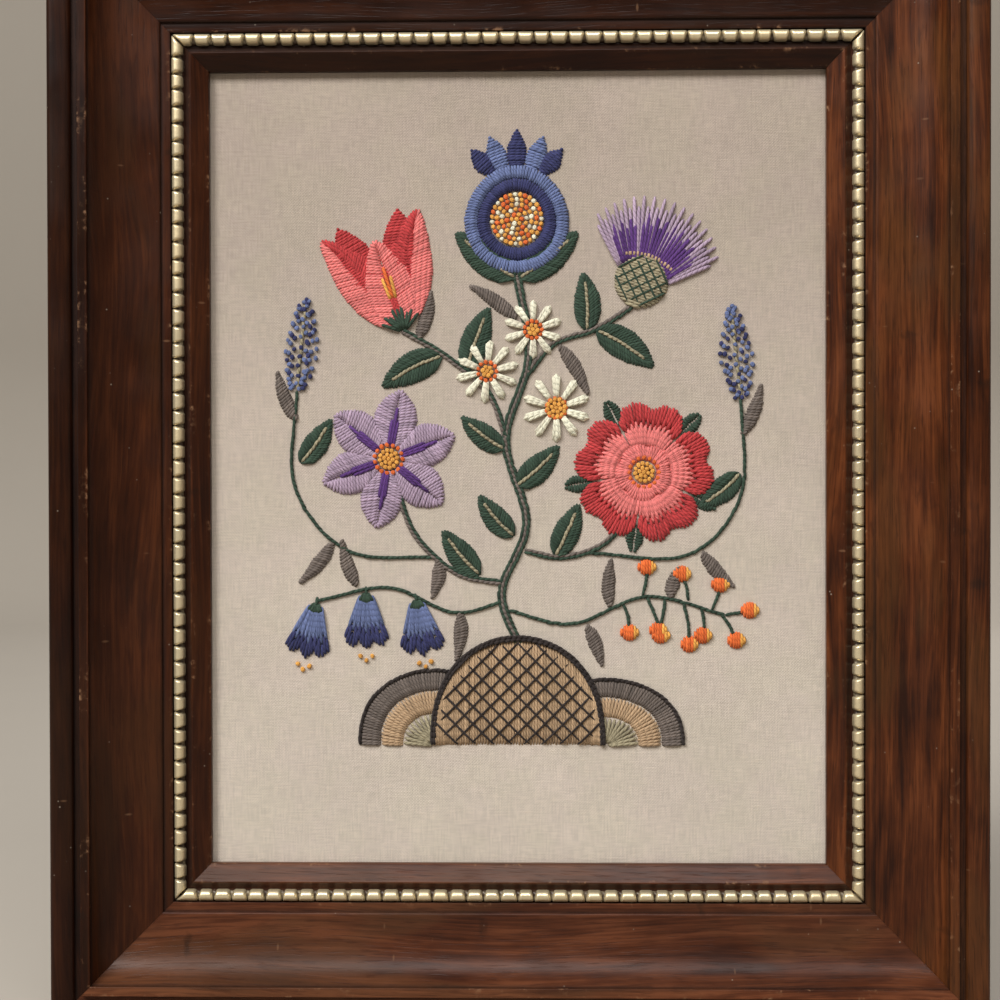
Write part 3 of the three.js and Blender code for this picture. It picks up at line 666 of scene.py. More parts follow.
def linen_finish(settings):
    """Plain-weave linen with slubs, a little darker in broad cloudy patches, with painted shade that makes it lighter
    at the foot and darker and warmer towards the top.
    """
    material, wires, surface = new_material("beige_linen")
    along = wires.along()
    weave = group_node(wires, plain_weave_group, "plain_weave", Vector=along, Threads=1 / settings.thread)
    cloud = wires.noise(along, CLOUD, 3.0, 0.6)
    mottle = wires.spread(wires.noise(along, MOTTLE, 4.0, 0.6), 0.35, 0.65)
    linen = np.array(settings.linen)
    tone = wires.blend(mottle, rgba(linen * (1.0, 0.985, 0.985)), rgba(linen * (0.985, 0.99, 0.955)))
    tone = wires.blend(wires.times(weave.outputs["Slub"], 0.5), tone, rgba(settings.slub))
    fine = wires.spread(weave.outputs["Tone"], 0.36, 0.64, 0.88, 1.09)
    fine = wires.times(fine, wires.spread(cloud, 0.3, 0.75, 0.95, 1.04))
    # Painted shade between the threads: the weave's low places are darker.
    thread_gap_shade = wires.spread(weave.outputs["Height"], 0.0, 0.5, 0.82, 1.0)
    shade = wires.times(fine, thread_gap_shade)
    # Painted shade: the cloth darkens and warms from its foot to its top.
    high = wires.node("ShaderNodeSeparateXYZ", Vector=along).outputs["Y"]
    foot, head = float(LINEN_LOW[2]), float(LINEN_HIGH[2])
    painted_top_shade = {band: wires.times(shade, wires.spread(high, foot, head, 1.08, at_top))
             for band, at_top in (("Red", 0.71), ("Green", 0.67), ("Blue", 0.65))}
    shades = wires.node("ShaderNodeCombineColor", **painted_top_shade).outputs["Color"]
    wires.feed(surface.inputs["Base Color"], wires.blend(1.0, tone, shades, "MULTIPLY"))
    surface.inputs["Roughness"].default_value = 0.92
    surface.inputs["Sheen Weight"].default_value = 0.15
    wires.feed(surface.inputs["Normal"], wires.bump(weave.outputs["Height"], 0.5, 0.3 * MM))
    return material


def wool_finish(settings, thread):
    """Crewel wool: each stitch a little lighter or darker, ply grooves in shade, soft fibres."""
    material, wires, surface = new_material("yarn_" + thread)
    base = np.array(getattr(settings, thread))
    ply = group_node(wires, wool_ply_group, "wool_ply", Along=wires.along(), Turns=1 / settings.ply_turn)
    tone = wires.blend(wires.mask("dye"), rgba(base * 0.74), rgba(np.minimum(base * 1.28 + 0.012, 1.0)))
    shade = wires.math("SUBTRACT", 1.0, wires.times(ply.outputs["Groove"], 0.5))
    shade = wires.times(shade, wires.spread(ply.outputs["Fibre"], 0.3, 0.7, 0.84, 1.12))
    wires.feed(surface.inputs["Base Color"], wires.blend(1.0, tone, wires.grey(shade), "MULTIPLY"))
    surface.inputs["Roughness"].default_value = 0.9
    surface.inputs["Sheen Weight"].default_value = 0.08
    surface.inputs["Sheen Roughness"].default_value = 0.5
    wires.feed(surface.inputs["Normal"], wires.bump(ply.outputs["Height"], 0.6, 0.3 * MM))
    return material


def board_finish(settings):
    """Hardboard: pressed fibre in mottled browns."""
    material, wires, surface = new_material("hardboard")
    place = wires.place()
    fibre = wires.noise(place, 380.0, 5.0, 0.7)
    tone = wires.total((fibre, 0.65), (wires.noise(place, 18.0, 3.0), 0.35))
    base = np.array(settings.board)
    mottled = wires.blend(wires.spread(tone, 0.35, 0.65), rgba(base * 0.72), rgba(base * 1.2))
    wires.feed(surface.inputs["Base Color"], mottled)
    surface.inputs["Roughness"].default_value = 0.85
    wires.feed(surface.inputs["Normal"], wires.bump(fibre, 0.25, 0.3 * MM))
    return material


# Frame

def bend(start, control, end, count=10):
    """Points on a quadratic curve, without its start."""
    t = np.linspace(0, 1, count + 1)[1:, None]
    start, control, end = (np.array(point, float) for point in (start, control, end))
    return (1 - t) ** 2 * start + 2 * t * (1 - t) * control + t ** 2 * end


def scoop_curve(count=28):
    """Points on the cubic curve of the hollow, from the fillet down to the strip, without its start."""
    t = np.linspace(0, 1, count + 1)[1:, None]
    start = np.array((SCOOP_TO, SCOOP_HIGH))
    first = np.array((SCOOP_TO - SCOOP_HOLLOW, SCOOP_HIGH - 2 * SCOOP_HOLLOW))
    second = np.array(((SCOOP_FROM + SCOOP_TO) / 2, SCOOP_LOW))
    end = np.array((SCOOP_FROM, SCOOP_LOW))
    return (1 - t) ** 3 * start + 3 * t * (1 - t) ** 2 * first + 3 * t ** 2 * (1 - t) * second + t ** 3 * end


def moulding_section(corner):
    """Closed outline of the moulding as (out, up), with its sharp corners rounded."""
    sharp = [(REBATE_WIDE, 0), (RAIL_WIDTH, 0)]
    outer = bend((RAIL_WIDTH, DEPTH - BAND_ROUND), (RAIL_WIDTH, DEPTH), (RAIL_WIDTH - BAND_ROUND, DEPTH))
    band = bend((RAIL_WIDTH - BAND_ROUND, DEPTH), (COVE_TO, DEPTH), (COVE_TO, COVE_FLOOR))
    rise = [(FILLET_TO, COVE_FLOOR), (FILLET_TO, FILLET_HIGH), (SCOOP_TO, FILLET_HIGH), (SCOOP_TO, SCOOP_HIGH)]
    step = bend((SCOOP_FROM, SCOOP_LOW), (STRIP_TO, SCOOP_LOW), (STRIP_TO, STRIP_HIGH), 6)
    channel = [(CHANNEL_TO, STRIP_HIGH), (CHANNEL_TO, CHANNEL_FLOOR), (CHANNEL_FROM, CHANNEL_FLOOR)]
    lip = [(LIP_RIDGE_OUT, LIP_RIDGE), (0, LIP_EDGE), (0, REBATE_DEEP), (REBATE_WIDE, REBATE_DEEP)]
    outline = np.vstack((sharp, [(RAIL_WIDTH, DEPTH - BAND_ROUND)], outer, band, rise, scoop_curve(), step, channel,
                         lip))
    return rounded(outline, corner)


def rounded(outline, radius, steps=4):
    """Each corner over the sharp turn becomes a small quadratic curve; also how far the outline turns at each point."""
    before, after = np.roll(outline, 1, axis=0), np.roll(outline, -1, axis=0)
    into, out = outline - before, after - outline
    into_long, out_long = np.linalg.norm(into, axis=1), np.linalg.norm(out, axis=1)
    into, out = into / into_long[:, None], out / out_long[:, None]
    turn = np.degrees(np.arctan2(into[:, 0] * out[:, 1] - into[:, 1] * out[:, 0], (into * out).sum(axis=1)))
    reach = np.minimum(radius, 0.4 * np.minimum(into_long, out_long))
    points, turns = [], []
    for here in range(len(outline)):
        if abs(turn[here]) < SHARP_TURN:
            points.append(outline[here:here + 1])
            turns.append([0.0])
            continue
        start = outline[here] - into[here] * reach[here]
        end = outline[here] + out[here] * reach[here]
        points.append(np.vstack((start, bend(start, outline[here], end, steps))))
        turns.append([turn[here]] * (steps + 1))
    return split_flats(np.vstack(points), np.concatenate(turns))


def split_flats(outline, turns, longest=1.2):
    """The same closed outline with points added along its straight runs, so that none is over `longest`."""
    following = np.roll(outline, -1, axis=0)
    parts = np.maximum(1, np.ceil(np.linalg.norm(following - outline, axis=1) / longest)).astype(int)
    start = np.repeat(np.arange(len(outline)), parts)
    share = np.concatenate([np.arange(count) / count for count in parts])
    points = outline[start] + (following - outline)[start] * share[:, None]
    return points, np.where(share == 0, turns[start], 0)


def corner_masks(section, turns):
    """Masks along the section: 1 on an outer corner or an inner corner, fading over a millimetre."""
    apart = np.linalg.norm(section[:, None] - section[None], axis=2)
    near = np.exp(-(apart / MASK_REACH) ** 2)
    edge = (near * (turns > SHARP_TURN)).max(axis=1)
    cavity = (near * (turns < -SHARP_TURN)).max(axis=1)
    return edge, cavity


def turned_quarter(points, quarter_turns):
    """Picture-plane points turned anticlockwise by quarter turns."""
    x, y, up = points[..., 0], points[..., 1], points[..., 2]
    for _ in range(quarter_turns):
        x, y = -y, x
    return stacked(x, y, up)


def frame_place(points):
    """Picture-plane millimetres with a height above the frame's back, as places in the shared frame."""
    return stacked(points[..., 0] * MM, FRAME_BACK - points[..., 2] * MM, PICTURE_MIDDLE + points[..., 1] * MM)


# Sides, anticlockwise: which sight size runs along and across each; its stain with painted light in it (much darker on
# the top and left rails for painted shade, bluer and greyer on the bottom for a painted sheen); the outer band's share
# of it, also with painted light; its figure
Side = namedtuple("Side", "name along across stain outer_stain figure")
SIDES = (
    Side("bottom", 0, 1, (0.87, 0.99, 1.45), 1.5, 0.7),
    Side("right", 1, 0, (0.76, 0.75, 0.74), 0.9, 0.9),
    Side("top", 0, 1, (0.24, 0.22, 0.2), 0.8, 0.6),
    Side("left", 1, 0, (0.46, 0.44, 0.44), 0.5, 0.6),
)


def cut_into_triangles(outline):
    """Corner numbers of triangles that fill a closed outline, none of them flat."""
    loop = list(range(len(outline)))
    _, _, triangles, came_from, _, _ = delaunay_2d_cdt([Vector(point) for point in outline], [], [loop], 1, 1e-6)
    return np.array([[came_from[corner][0] for corner in triangle] for triangle in triangles])


def rail_piece(side, settings, quarter_turns, stations=48):
    """A mitred rail: the section carried along the side, each point reaching out to the mitre on its own line."""
    half_length, half_across = SIGHT[side.along] / 2, SIGHT[side.across] / 2
    section, turns = moulding_section(settings.corner / MM)
    edge, cavity = corner_masks(section, turns)
    share = np.linspace(-1, 1, stations)[:, None]
    along = share * (half_length + section[:, 0] - MITRE_GAP)
    points = stacked(along, -(half_across + section[:, 0]), section[:, 1])
    count = len(section)
    wall, _ = tube_polygons(1, stations, count)
    cap = cut_into_triangles(section)
    ends = np.concatenate((cap[:, ::-1], cap + (stations - 1) * count))
    round_run = np.concatenate(([0], np.cumsum(np.linalg.norm(np.diff(section, axis=0, append=section[:1]), axis=1))))
    ring, spot = tube_corners(stations, count)
    wall_uv = stacked(along[ring, spot % count], round_run[spot]) * MM
    end_uv = section[ends % count] * MM
    placed = frame_place(turned_quarter(points, quarter_turns)).reshape(-1, 3)
    out, up = section.T
    # The whole bead channel takes the cavity mask, so it is darkened with wax and painted shade.
    in_channel = (out > LIP_RIDGE_OUT + 0.5) & (out < CHANNEL_TO + 0.1) & (up > REBATE_DEEP + 1)
    masks = {"edge": edge, "cavity": np.where(in_channel, 1.0, cavity), "outer": np.clip(out - SCOOP_TO, 0, 1)}
    masks = {label: np.tile(amounts, stations) for label, amounts in masks.items()}
    finish = walnut_finish(settings, side, 0.37 * (quarter_turns + 1))
    return make_piece("walnut_rail_" + side.name, placed, [wall, ends], [wall_uv, end_uv], [finish], values=masks,
                      crisp=40)


def bead_piece(side, settings, finish, quarter_turns):
    """A half-round strip whose height and width drop in a notch about each pitch, wider on the inner side.

    Notches stray at random along the strip, each bead has its own height, and both ends lean to the mitre.
    """
    half_length, half_across = SIGHT[side.along] / 2, SIGHT[side.across] / 2
    wide, high = settings.bead_wide / MM, settings.bead_high / MM
    middle = (CHANNEL_FROM + CHANNEL_TO) / 2
    reach = half_length + middle - MITRE_GAP
    beads = int(round(2 * reach / (settings.bead_pitch / MM)))
    pitch = 2 * reach / beads
    station = np.append((np.arange(beads)[:, None] + np.array(BEAD_STATIONS)).ravel(), beads) * pitch
    angle = np.linspace(0, np.pi, 11)
    lean = -np.cos(angle)
    from_notch = np.abs((station / pitch + 0.5) % 1 - 0.5)[:, None] * pitch
    notch_half = NOTCH_HALF - NOTCH_LEAN * lean[None]
    full = np.clip((from_notch - notch_half) / NOTCH_SLOPE, 0, 1) ** 0.6
    out = lean[None] * wide / 2 * (NOTCH_WIDE + (1 - NOTCH_WIDE) * full)
    rng = np.random.default_rng(60 + quarter_turns)
    bead = np.minimum(station / pitch, beads - 1).astype(int)
    tall = rng.uniform(SHORTEST_BEAD, 1.0, beads)[bead][:, None]
    up = np.abs(np.sin(angle))[None] ** 0.75 * high * (NOTCH_HIGH + (1 - NOTCH_HIGH) * full) * tall
    shift = np.append(np.insert(rng.uniform(-BEAD_STRAY, BEAD_STRAY, beads - 1), 0, 0.0), 0.0)
    station = station + np.interp(station / pitch, np.arange(beads + 1), shift)
    first, last = (np.exp(-(to_end / MITRE_REACH) ** 2)[:, None] for to_end in (station, 2 * reach - station))
    along = station[:, None] - reach + out * (last - first)
    points = stacked(along, -(half_across + middle + out), CHANNEL_FLOOR + GAP + up)
    count = len(angle)
    wall, ends = tube_polygons(1, len(station), count)
    wall_uv, end_uv = tube_uvs(station[None] * MM, count)
    placed = frame_place(turned_quarter(points, quarter_turns)).reshape(-1, 3)
    # The cavity mask darkens each notch with wax and painted shade; the edge mask is each bead's full height.
    masks = {"cavity": np.clip(1.2 - 1.7 * full, 0, 1).ravel(), "edge": np.broadcast_to(full, up.shape).ravel()}
    return make_piece("gilt_bead_" + side.name, placed, [wall, ends], [wall_uv, end_uv], [finish], values=masks,
                      crisp=70)


# Linen

# Waves of the stretched cloth: how many, how tight, and the range of a random phase, also used for the knots
WAVES = 9
WAVE_RANGE = (20, 120)
TURN = 6.28


def linen_piece(settings, finish):
    """A stretched sheet: a flat back grid and a front grid with slight waves, summed from sines, joined by a hem."""
    columns, rows = 150, 190
    x = np.linspace(LINEN_LOW[0], LINEN_HIGH[0], columns)
    z = np.linspace(LINEN_LOW[2], LINEN_HIGH[2], rows)
    across, up = np.meshgrid(x, z, indexing="xy")
    inside = np.sin(np.pi * (across - x[0]) / (x[-1] - x[0])) * np.sin(np.pi * (up - z[0]) / (z[-1] - z[0]))
    waves = np.zeros_like(across)
    generator = np.random.default_rng(3)
    for _ in range(WAVES):
        tight, way, phase = (generator.uniform(*limits) for limits in (WAVE_RANGE, (0, pi), (0, TURN)))
        waves += np.sin(tight * (across * np.cos(way) + up * np.sin(way)) * 2 + phase)
    waves *= settings.unevenness / 5 * np.clip(inside * 4, 0, 1)
    front = stacked(across, LINEN_LOW[1] + np.abs(waves), up).reshape(-1, 3)
    back = stacked(across, LINEN_HIGH[1], up).reshape(-1, 3)
    number = np.arange(rows * columns).reshape(rows, columns)
    quads = stacked(number[:-1, :-1], number[:-1, 1:], number[1:, 1:], number[1:, :-1]).reshape(-1, 4)
    rim = np.concatenate((number[0], number[1:, -1], number[-1, -2::-1], number[-2:0:-1, 0]))
    following = np.roll(rim, -1)
    hem = stacked(following, rim, rim + rows * columns, following + rows * columns)
    points = np.vstack((front, back))
    polygons = [np.vstack((quads, quads[:, ::-1] + rows * columns, hem))]
    uvs = [points[polygons[0]][..., (0, 2)]]
    return make_piece("linen_cloth", points, polygons, uvs, [finish], crisp=40)


# Outlines of the embroidery

def turned(local, place):
    """Points across and along a motif, turned to point `place.points` degrees clockwise from up."""
    angle = radians(place.points)
    across, along = local[..., 0], local[..., 1]
    return stacked(place.x + across * np.cos(angle) + along * np.sin(angle),
                   place.y - across * np.sin(angle) + along * np.cos(angle))


def blade(long, wide, peak, sharp, bend_by=0.0, count=60):
    """Left edge, midrib and right edge of a leaf or petal.

    The half width is the sine of pi times t^peak, to the power `sharp`, and the midrib is a parabola.
    """
    t = np.linspace(0, 1, count)
    half = wide / 2 * np.abs(np.sin(np.pi * t ** peak)) ** sharp
    midrib = stacked(bend_by * long * t ** 2, long * t)
    lean = stacked(2 * bend_by * t, np.ones(count))
    lean /= np.linalg.norm(lean, axis=1, keepdims=True)
    sideways = stacked(lean[:, 1], -lean[:, 0]) * half[:, None]
    return midrib - sideways, midrib, midrib + sideways


def moved(place, across, along, turn=0.0):
    """The place that lies across and along from another one, turned by some degrees more."""
    return Place(*turned(np.array((across, along), float), place), place.points + turn)


def fan(place, half_angle, inner, outer, count=50):
    """Inner and outer edge of a petal round a centre; `outer` gives the radius from -1 to 1 across the petal."""
    share = np.linspace(-1, 1, count)
    angle = np.radians(place.points + share * half_angle)
    ray = stacked(np.sin(angle), np.cos(angle))
    centre = np.array((place.x, place.y), float)
    return centre + ray * inner, centre + ray * outer(share)[:, None]


def smooth_route(points, count=20):
    """Catmull-Rom curve through the points, with its ends carried on straight."""
    points = np.array(points, float)
    points = np.vstack((2 * points[0] - points[1], points, 2 * points[-1] - points[-2]))
    t = np.linspace(0, 1, count, endpoint=False)[:, None]
    a, b, c, d = (points[start:len(points) - 3 + start, None] for start in range(4))
    curve = 0.5 * (2 * b + (c - a) * t + (2 * a - 5 * b + 4 * c - d) * t ** 2 + (3 * b - a - 3 * c + d) * t ** 3)
    return np.vstack((curve.reshape(-1, 2), points[-2:-1]))


def run_along(line):
    """Length along a line from its start to each of its points."""
    return np.concatenate(([0], np.cumsum(np.linalg.norm(np.diff(line, axis=0), axis=1))))


def at_run(line, run, where):
    """Points on a line at some lengths along it, straight between the line's own points."""
    return stacked(np.interp(where, run, line[:, 0]), np.interp(where, run, line[:, 1]))


def disc_points(radius, apart):
    """Points in rings about a centre, `apart` from one another."""
    rings = [np.zeros((1, 2))]
    for reach in np.arange(apart, radius, apart):
        count = int(2 * np.pi * reach / apart)
        angle = np.arange(count) / count * 2 * np.pi + reach
        rings.append(stacked(np.cos(angle), np.sin(angle)) * reach)
    return np.vstack(rings)


def ring_points(radius, count):
    """Points evenly round a circle."""
    angle = np.arange(count) / count * 2 * np.pi
    return stacked(np.cos(angle), np.sin(angle)) * radius


# Stitches

# Loops along a stitch, its sides, how deep its ends sink, its flatness, and how unevenly it sways and rises
RING_SHARES = np.array((0.0, 0.05, 0.16, 0.36, 0.64, 0.84, 0.95, 1.0))
STITCH_SIDES = 6
SUNK = 0.35
FLATNESS = 0.72
HAND_SWAY = 0.10
HAND_LIFT = 0.07

# Extra height of a long stitch and the length that has all of it; the shortest satin stitch; how far bands of
# long-and-short stitch mix, as a share; and how far a stem stitch's ends lie to each side of its line
PADDING, FULL_PADDING_AT = 0.25, 14
SHORTEST_STITCH = 0.8
STAGGER = 0.06
STEM_SLANT = 0.28

# Loops up a knot, as shares of its radius out and up; its sides; how much the wound yarn waves them, how far it turns
# from loop to loop, and the length of yarn in one
KNOT_OUT = np.array((0.55, 0.98, 1.0, 0.82, 0.5, 0.16))
KNOT_UP = np.array((-0.3, 0.15, 0.6, 1.02, 1.18, 1.05))
KNOT_SIDES = 8
KNOT_WAVE, KNOT_TWIST, KNOT_RUN = 0.13, 1.3, 0.9


class Needlework:
    """The stitches and knots of one motif, gathered as arrays and then made into one mesh."""

    def __init__(self, settings, seed):
        self.settings = settings
        self.pitch = settings.pitch / MM
        self.random = np.random.default_rng(settings.seed * 100 + seed)
        self.laid = []
        self.knots = []

    def lay(self, start, end, thread, tier=0.0, width=1.0):
        """Straight stitches from start to end; tier raises them over others."""
        same = np.ones(len(start))
        self.laid.append((np.array(start, float), np.array(end, float), same * THREADS.index(thread), same * tier,
                          same * width))

    def knot(self, at, thread, radius=1.05, tier=0.0):
        """Knots at some places; tier raises them over others."""
        same = np.ones(len(at))
        self.knots.append((np.array(at, float), same * THREADS.index(thread), same * radius, same * tier))

    def drop_stitches(self, covered):
        """Leave out the stitches that have both ends under something laid later."""
        kept = [~(covered(row[0]) & covered(row[1])) for row in self.laid]
        self.laid = [tuple(column[keep] for column in row) for row, keep in zip(self.laid, kept)]

    def rows_between(self, edge_a, edge_b, guide, pitch, least):
        """Starts and ends on two edges, one pitch apart along a guide between them."""
        run = run_along(guide)
        count = max(least, int(round(run[-1] / (pitch or self.pitch))))
        where = (np.arange(count) + 0.5) / count * run[-1]
        return at_run(edge_a, run, where), at_run(edge_b, run, where), count

    def satin(self, edge_a, edge_b, thread, tier=0.0, ragged=0.22, pitch=None):
        """Parallel stitches from one edge to the other, one pitch apart along the middle."""
        start, end, count = self.rows_between(edge_a, edge_b, (edge_a + edge_b) / 2, pitch, 2)
        span = end - start
        long = np.linalg.norm(span, axis=1, keepdims=True) + 1e-9
        start = start - span / long * self.random.uniform(-ragged, ragged, (count, 1))
        end = end + span / long * self.random.uniform(-ragged, ragged, (count, 1))
        keep = long[:, 0] > SHORTEST_STITCH
        self.lay(start[keep], end[keep], thread, tier=tier)

    def fishbone(self, left, midrib, right, thread, tier=0.0, slant=0):
        """Satin on both sides of a midrib, slanting towards the tip by some of the edges' points."""
        for edge in (left, right):
            self.satin(midrib[:len(midrib) - slant], edge[slant:], thread, tier=tier)

    def shaded(self, edge_a, edge_b, bands, tier=0.0):
        """Long-and-short stitch: bands of (wool, from share, to share) whose shared ends are staggered."""
        start, end, count = self.rows_between(edge_a, edge_b, 0.35 * edge_a + 0.65 * edge_b, None, 3)
        zigzag = np.where(np.arange(count) % 2 == 0, STAGGER, -STAGGER)[:, None]
        for thread, low, high in bands:
            from_share = low + (zigzag + self.random.uniform(-0.04, 0.04, (count, 1)) if low > 0 else 0.0)
            to_share = high + (zigzag if high < 1 else 0) + self.random.uniform(-0.03, 0.02, (count, 1))
            self.lay(start + (end - start) * from_share, start + (end - start) * to_share, thread,
                     tier=tier + (0.12 if low > 0 else 0.0))

    def stem(self, route, threads, apart=1.1, stride=2.4, reach=4.8, tier=0.0):
        """Rows of stem stitch: short slanting stitches that each start beside the middle of the last."""
        way = np.gradient(route, axis=0)
        way /= np.linalg.norm(way, axis=1, keepdims=True)
        sideways = stacked(-way[:, 1], way[:, 0])
        for row, thread in enumerate(threads):
            line = route + sideways * (row - (len(threads) - 1) / 2) * apart
            run = run_along(line)
            begin = np.arange(0, run[-1] - 0.5, stride)
            finish = np.minimum(begin + reach, run[-1])
            low, high = line - sideways * STEM_SLANT, line + sideways * STEM_SLANT
            self.lay(at_run(low, run, begin), at_run(high, run, finish), thread, tier=tier, width=0.95)

    def stitch_rings(self, start, end, tier, width):
        """Loops of points round each stitch: a strand that rises from the linen, runs flat and goes down again."""
        count = len(start)
        strand, lift = self.settings.strand / MM, self.settings.lift / MM
        span = end - start
        long = np.linalg.norm(span, axis=1)
        way = span / (long[:, None] + 1e-9)
        sideways = stacked(-way[:, 1], way[:, 0])
        t = RING_SHARES[None]
        rise = np.clip(1 - np.abs(2 * t - 1) ** np.clip(long / 1.6, 2.0, 9.0)[:, None], 0, 1)
        sway = self.random.normal(0, HAND_SWAY, count)[:, None] * 4 * t * (1 - t)
        middle = start[:, None] + span[:, None] * t[..., None] + sideways[:, None] * sway[..., None]
        padding = np.clip(long / FULL_PADDING_AT, 0, 1) * PADDING + self.random.normal(0, HAND_LIFT, count)
        high = -SUNK + (lift + SUNK + tier + padding)[:, None] * rise
        half = (strand / 2 * width * self.random.uniform(0.9, 1.1, count))[:, None] * (0.5 + 0.5 * rise)
        angle = np.arange(STITCH_SIDES) / STITCH_SIDES * 2 * np.pi
        across = half[..., None] * np.cos(angle)
        proud = high[..., None] + FLATNESS * half[..., None] * np.sin(angle)
        plane = middle[:, :, None] + sideways[:, None, None] * across[..., None]
        return on_picture(plane[..., 0], plane[..., 1], proud), long[:, None] * t

    def knot_rings(self, at, radius, tier):
        """Loops of points up each knot: a squat coil, dimpled on top, whose sides wave with the wound yarn."""
        count = len(at)
        ring = np.arange(len(KNOT_OUT))
        x, y, radius, tier = (column[:, None, None] for column in (at[:, 0], at[:, 1], radius, tier))
        angle = np.arange(KNOT_SIDES) / KNOT_SIDES * 2 * np.pi
        turn = self.random.uniform(0, TURN, count)[:, None, None]
        wave = 1 + KNOT_WAVE * np.cos(2 * angle[None, None] + ring[None, :, None] * KNOT_TWIST + turn)
        reach = radius * self.random.uniform(0.9, 1.1, count)[:, None, None] * KNOT_OUT[None, :, None] * wave
        x, y = x + reach * np.cos(angle), y + reach * np.sin(angle)
        high = np.broadcast_to(radius * KNOT_UP[None, :, None] + tier, x.shape)
        return on_picture(x, y, high), np.broadcast_to(ring * KNOT_RUN, (count, len(ring)))

    def piece(self, name, finishes):
        """One closed mesh of all strands and knots, with a finish for each wool and a dye value for each stitch."""
        points, polygons, uvs, wools, dyes = [], {}, {}, {}, []
        start_number = 0
        batches = []
        if self.laid:
            start, end, thread, tier, width = (np.concatenate(column) for column in zip(*self.laid))
            batches.append((self.stitch_rings(start, end, tier, width), thread))
        if self.knots:
            at, thread, radius, tier = (np.concatenate(column) for column in zip(*self.knots))
            batches.append((self.knot_rings(at, radius, tier), thread))
        for (rings, run), thread in batches:
            count, loops, sides = rings.shape[:3]
            for corners, uv in zip(tube_polygons(count, loops, sides), tube_uvs(run * MM, sides)):
                key = corners.shape[1]
                polygons.setdefault(key, []).append(corners + start_number)
                uvs.setdefault(key, []).append(uv)
                wools.setdefault(key, []).append(np.repeat(thread, len(corners) // count))
            points.append(rings.reshape(-1, 3))
            dye = np.clip(0.5 + self.random.normal(0, 0.2, count), 0, 1)
            dyes.append(np.repeat(dye, loops * sides))
            start_number += count * loops * sides
        wool = np.concatenate([np.concatenate(wools[key]) for key in polygons])
        used, wool_of = np.unique(wool, return_inverse=True)
        return make_piece(name, np.vstack(points), [np.vstack(polygons[key]) for key in polygons],
                          [np.vstack(uvs[key]) for key in polygons], [finishes[THREADS[int(k)]] for k in used],
                          finish_of=wool_of, values={"dye": np.concatenate(dyes)})


# Motifs

def work_rose(work, radius=31.0):
    """Dog rose: notched petals shaded from pink to coral, an inner ring, sepals and a knotted centre."""
    centre = np.array((ROSE.x, ROSE.y), float)

    def heart(share):
        return radius * (1 - 0.10 * np.exp(-(share / 0.22) ** 2) - 0.20 * np.abs(share) ** 5)

    for petal in range(5):
        sepal = Place(ROSE.x, ROSE.y, ROSE.points + 36 + 72 * petal)
        base = moved(sepal, 0, 0.74 * radius)
        work.fishbone(*(turned(line, base) for line in blade(0.42 * radius, 8, 0.9, 0.8)), "green")
    for petal in range(5):
        place = Place(ROSE.x, ROSE.y, ROSE.points + 72 * petal)
        inner, outer = fan(place, 34, 0.36 * radius, heart)
        work.shaded(inner, outer, (("pink", 0, 0.52), ("coral", 0.5, 1)), tier=0.3)
        place = Place(ROSE.x, ROSE.y, ROSE.points + 36 + 72 * petal)
        inner, outer = fan(place, 36, 0.17 * radius, lambda share: radius * (0.44 - 0.08 * np.abs(share) ** 3))
        work.satin(inner, outer, "pink", tier=0.5, pitch=1.05)
    work.knot(centre + disc_points(0.17 * radius, 1.9), "gold", tier=0.5)
    work.knot(centre + ring_points(0.21 * radius, 16), "orange", tier=0.5)


def work_clematis(work, radius=31.0, petals=6):
    """Clematis: pointed petals of slanting satin from a midrib, each with a violet stripe."""
    centre = np.array((CLEMATIS.x, CLEMATIS.y), float)
    for petal in range(petals):
        toward = Place(CLEMATIS.x, CLEMATIS.y, CLEMATIS.points + 360 / petals * petal)
        base = moved(toward, 0, 0.14 * radius)
        petal_lines = (turned(line, base) for line in blade(0.86 * radius, 0.62 * radius, 1.02, 0.72))
        work.fishbone(*petal_lines, "lilac", tier=0.3, slant=6)
        across = np.array((-1.2, 0.0, 1.2))
        tips = radius * np.array((0.44, 0.6, 0.44))
        start = turned(stacked(across * 0.8, 0.02 * radius), base)
        work.lay(start, turned(stacked(across * 1.1, tips), base), "violet", tier=0.75)
    work.knot(centre + disc_points(0.15 * radius, 1.9), "gold", tier=0.6)
    work.knot(centre + ring_points(0.2 * radius, 15), "orange", tier=0.6)


def work_pomegranate(work, wide=46.0, high=48.0):
    """Pomegranate: a slate rim and a navy ring of radial satin round a window of knots, under a pointed crown."""
    around = np.linspace(0, 2 * np.pi, 160)
    egg = stacked(np.sin(around) * wide / 2 * (1 + 0.08 * np.cos(around)), -np.cos(around) * high / 2)
    for points, long in ((-46, 15), (46, 15), (-23, 18), (23, 18), (0, 20)):
        base = moved(POMEGRANATE, np.sin(radians(points)) * 0.3 * wide, 0.4 * high, 0.9 * points)
        left, _, right = (turned(line, base) for line in blade(long, 9, 0.9, 0.8))
        work.satin(left, right, "slate" if abs(points) == 23 else "navy", tier=0.1)
    rim, ring, window = (turned(egg * share, POMEGRANATE) for share in (1.0, 0.76, 0.5))
    work.satin(turned(egg * 0.72, POMEGRANATE), rim, "slate", tier=0.9)
    work.satin(window, ring, "navy", tier=1.0, pitch=1.1)
    seeds = disc_points(0.245 * wide, 2.15)
    for shift, thread in enumerate(("gold", "orange", "gold", "cream")):
        work.knot(turned(seeds[shift::4], POMEGRANATE), thread, tier=0.3)


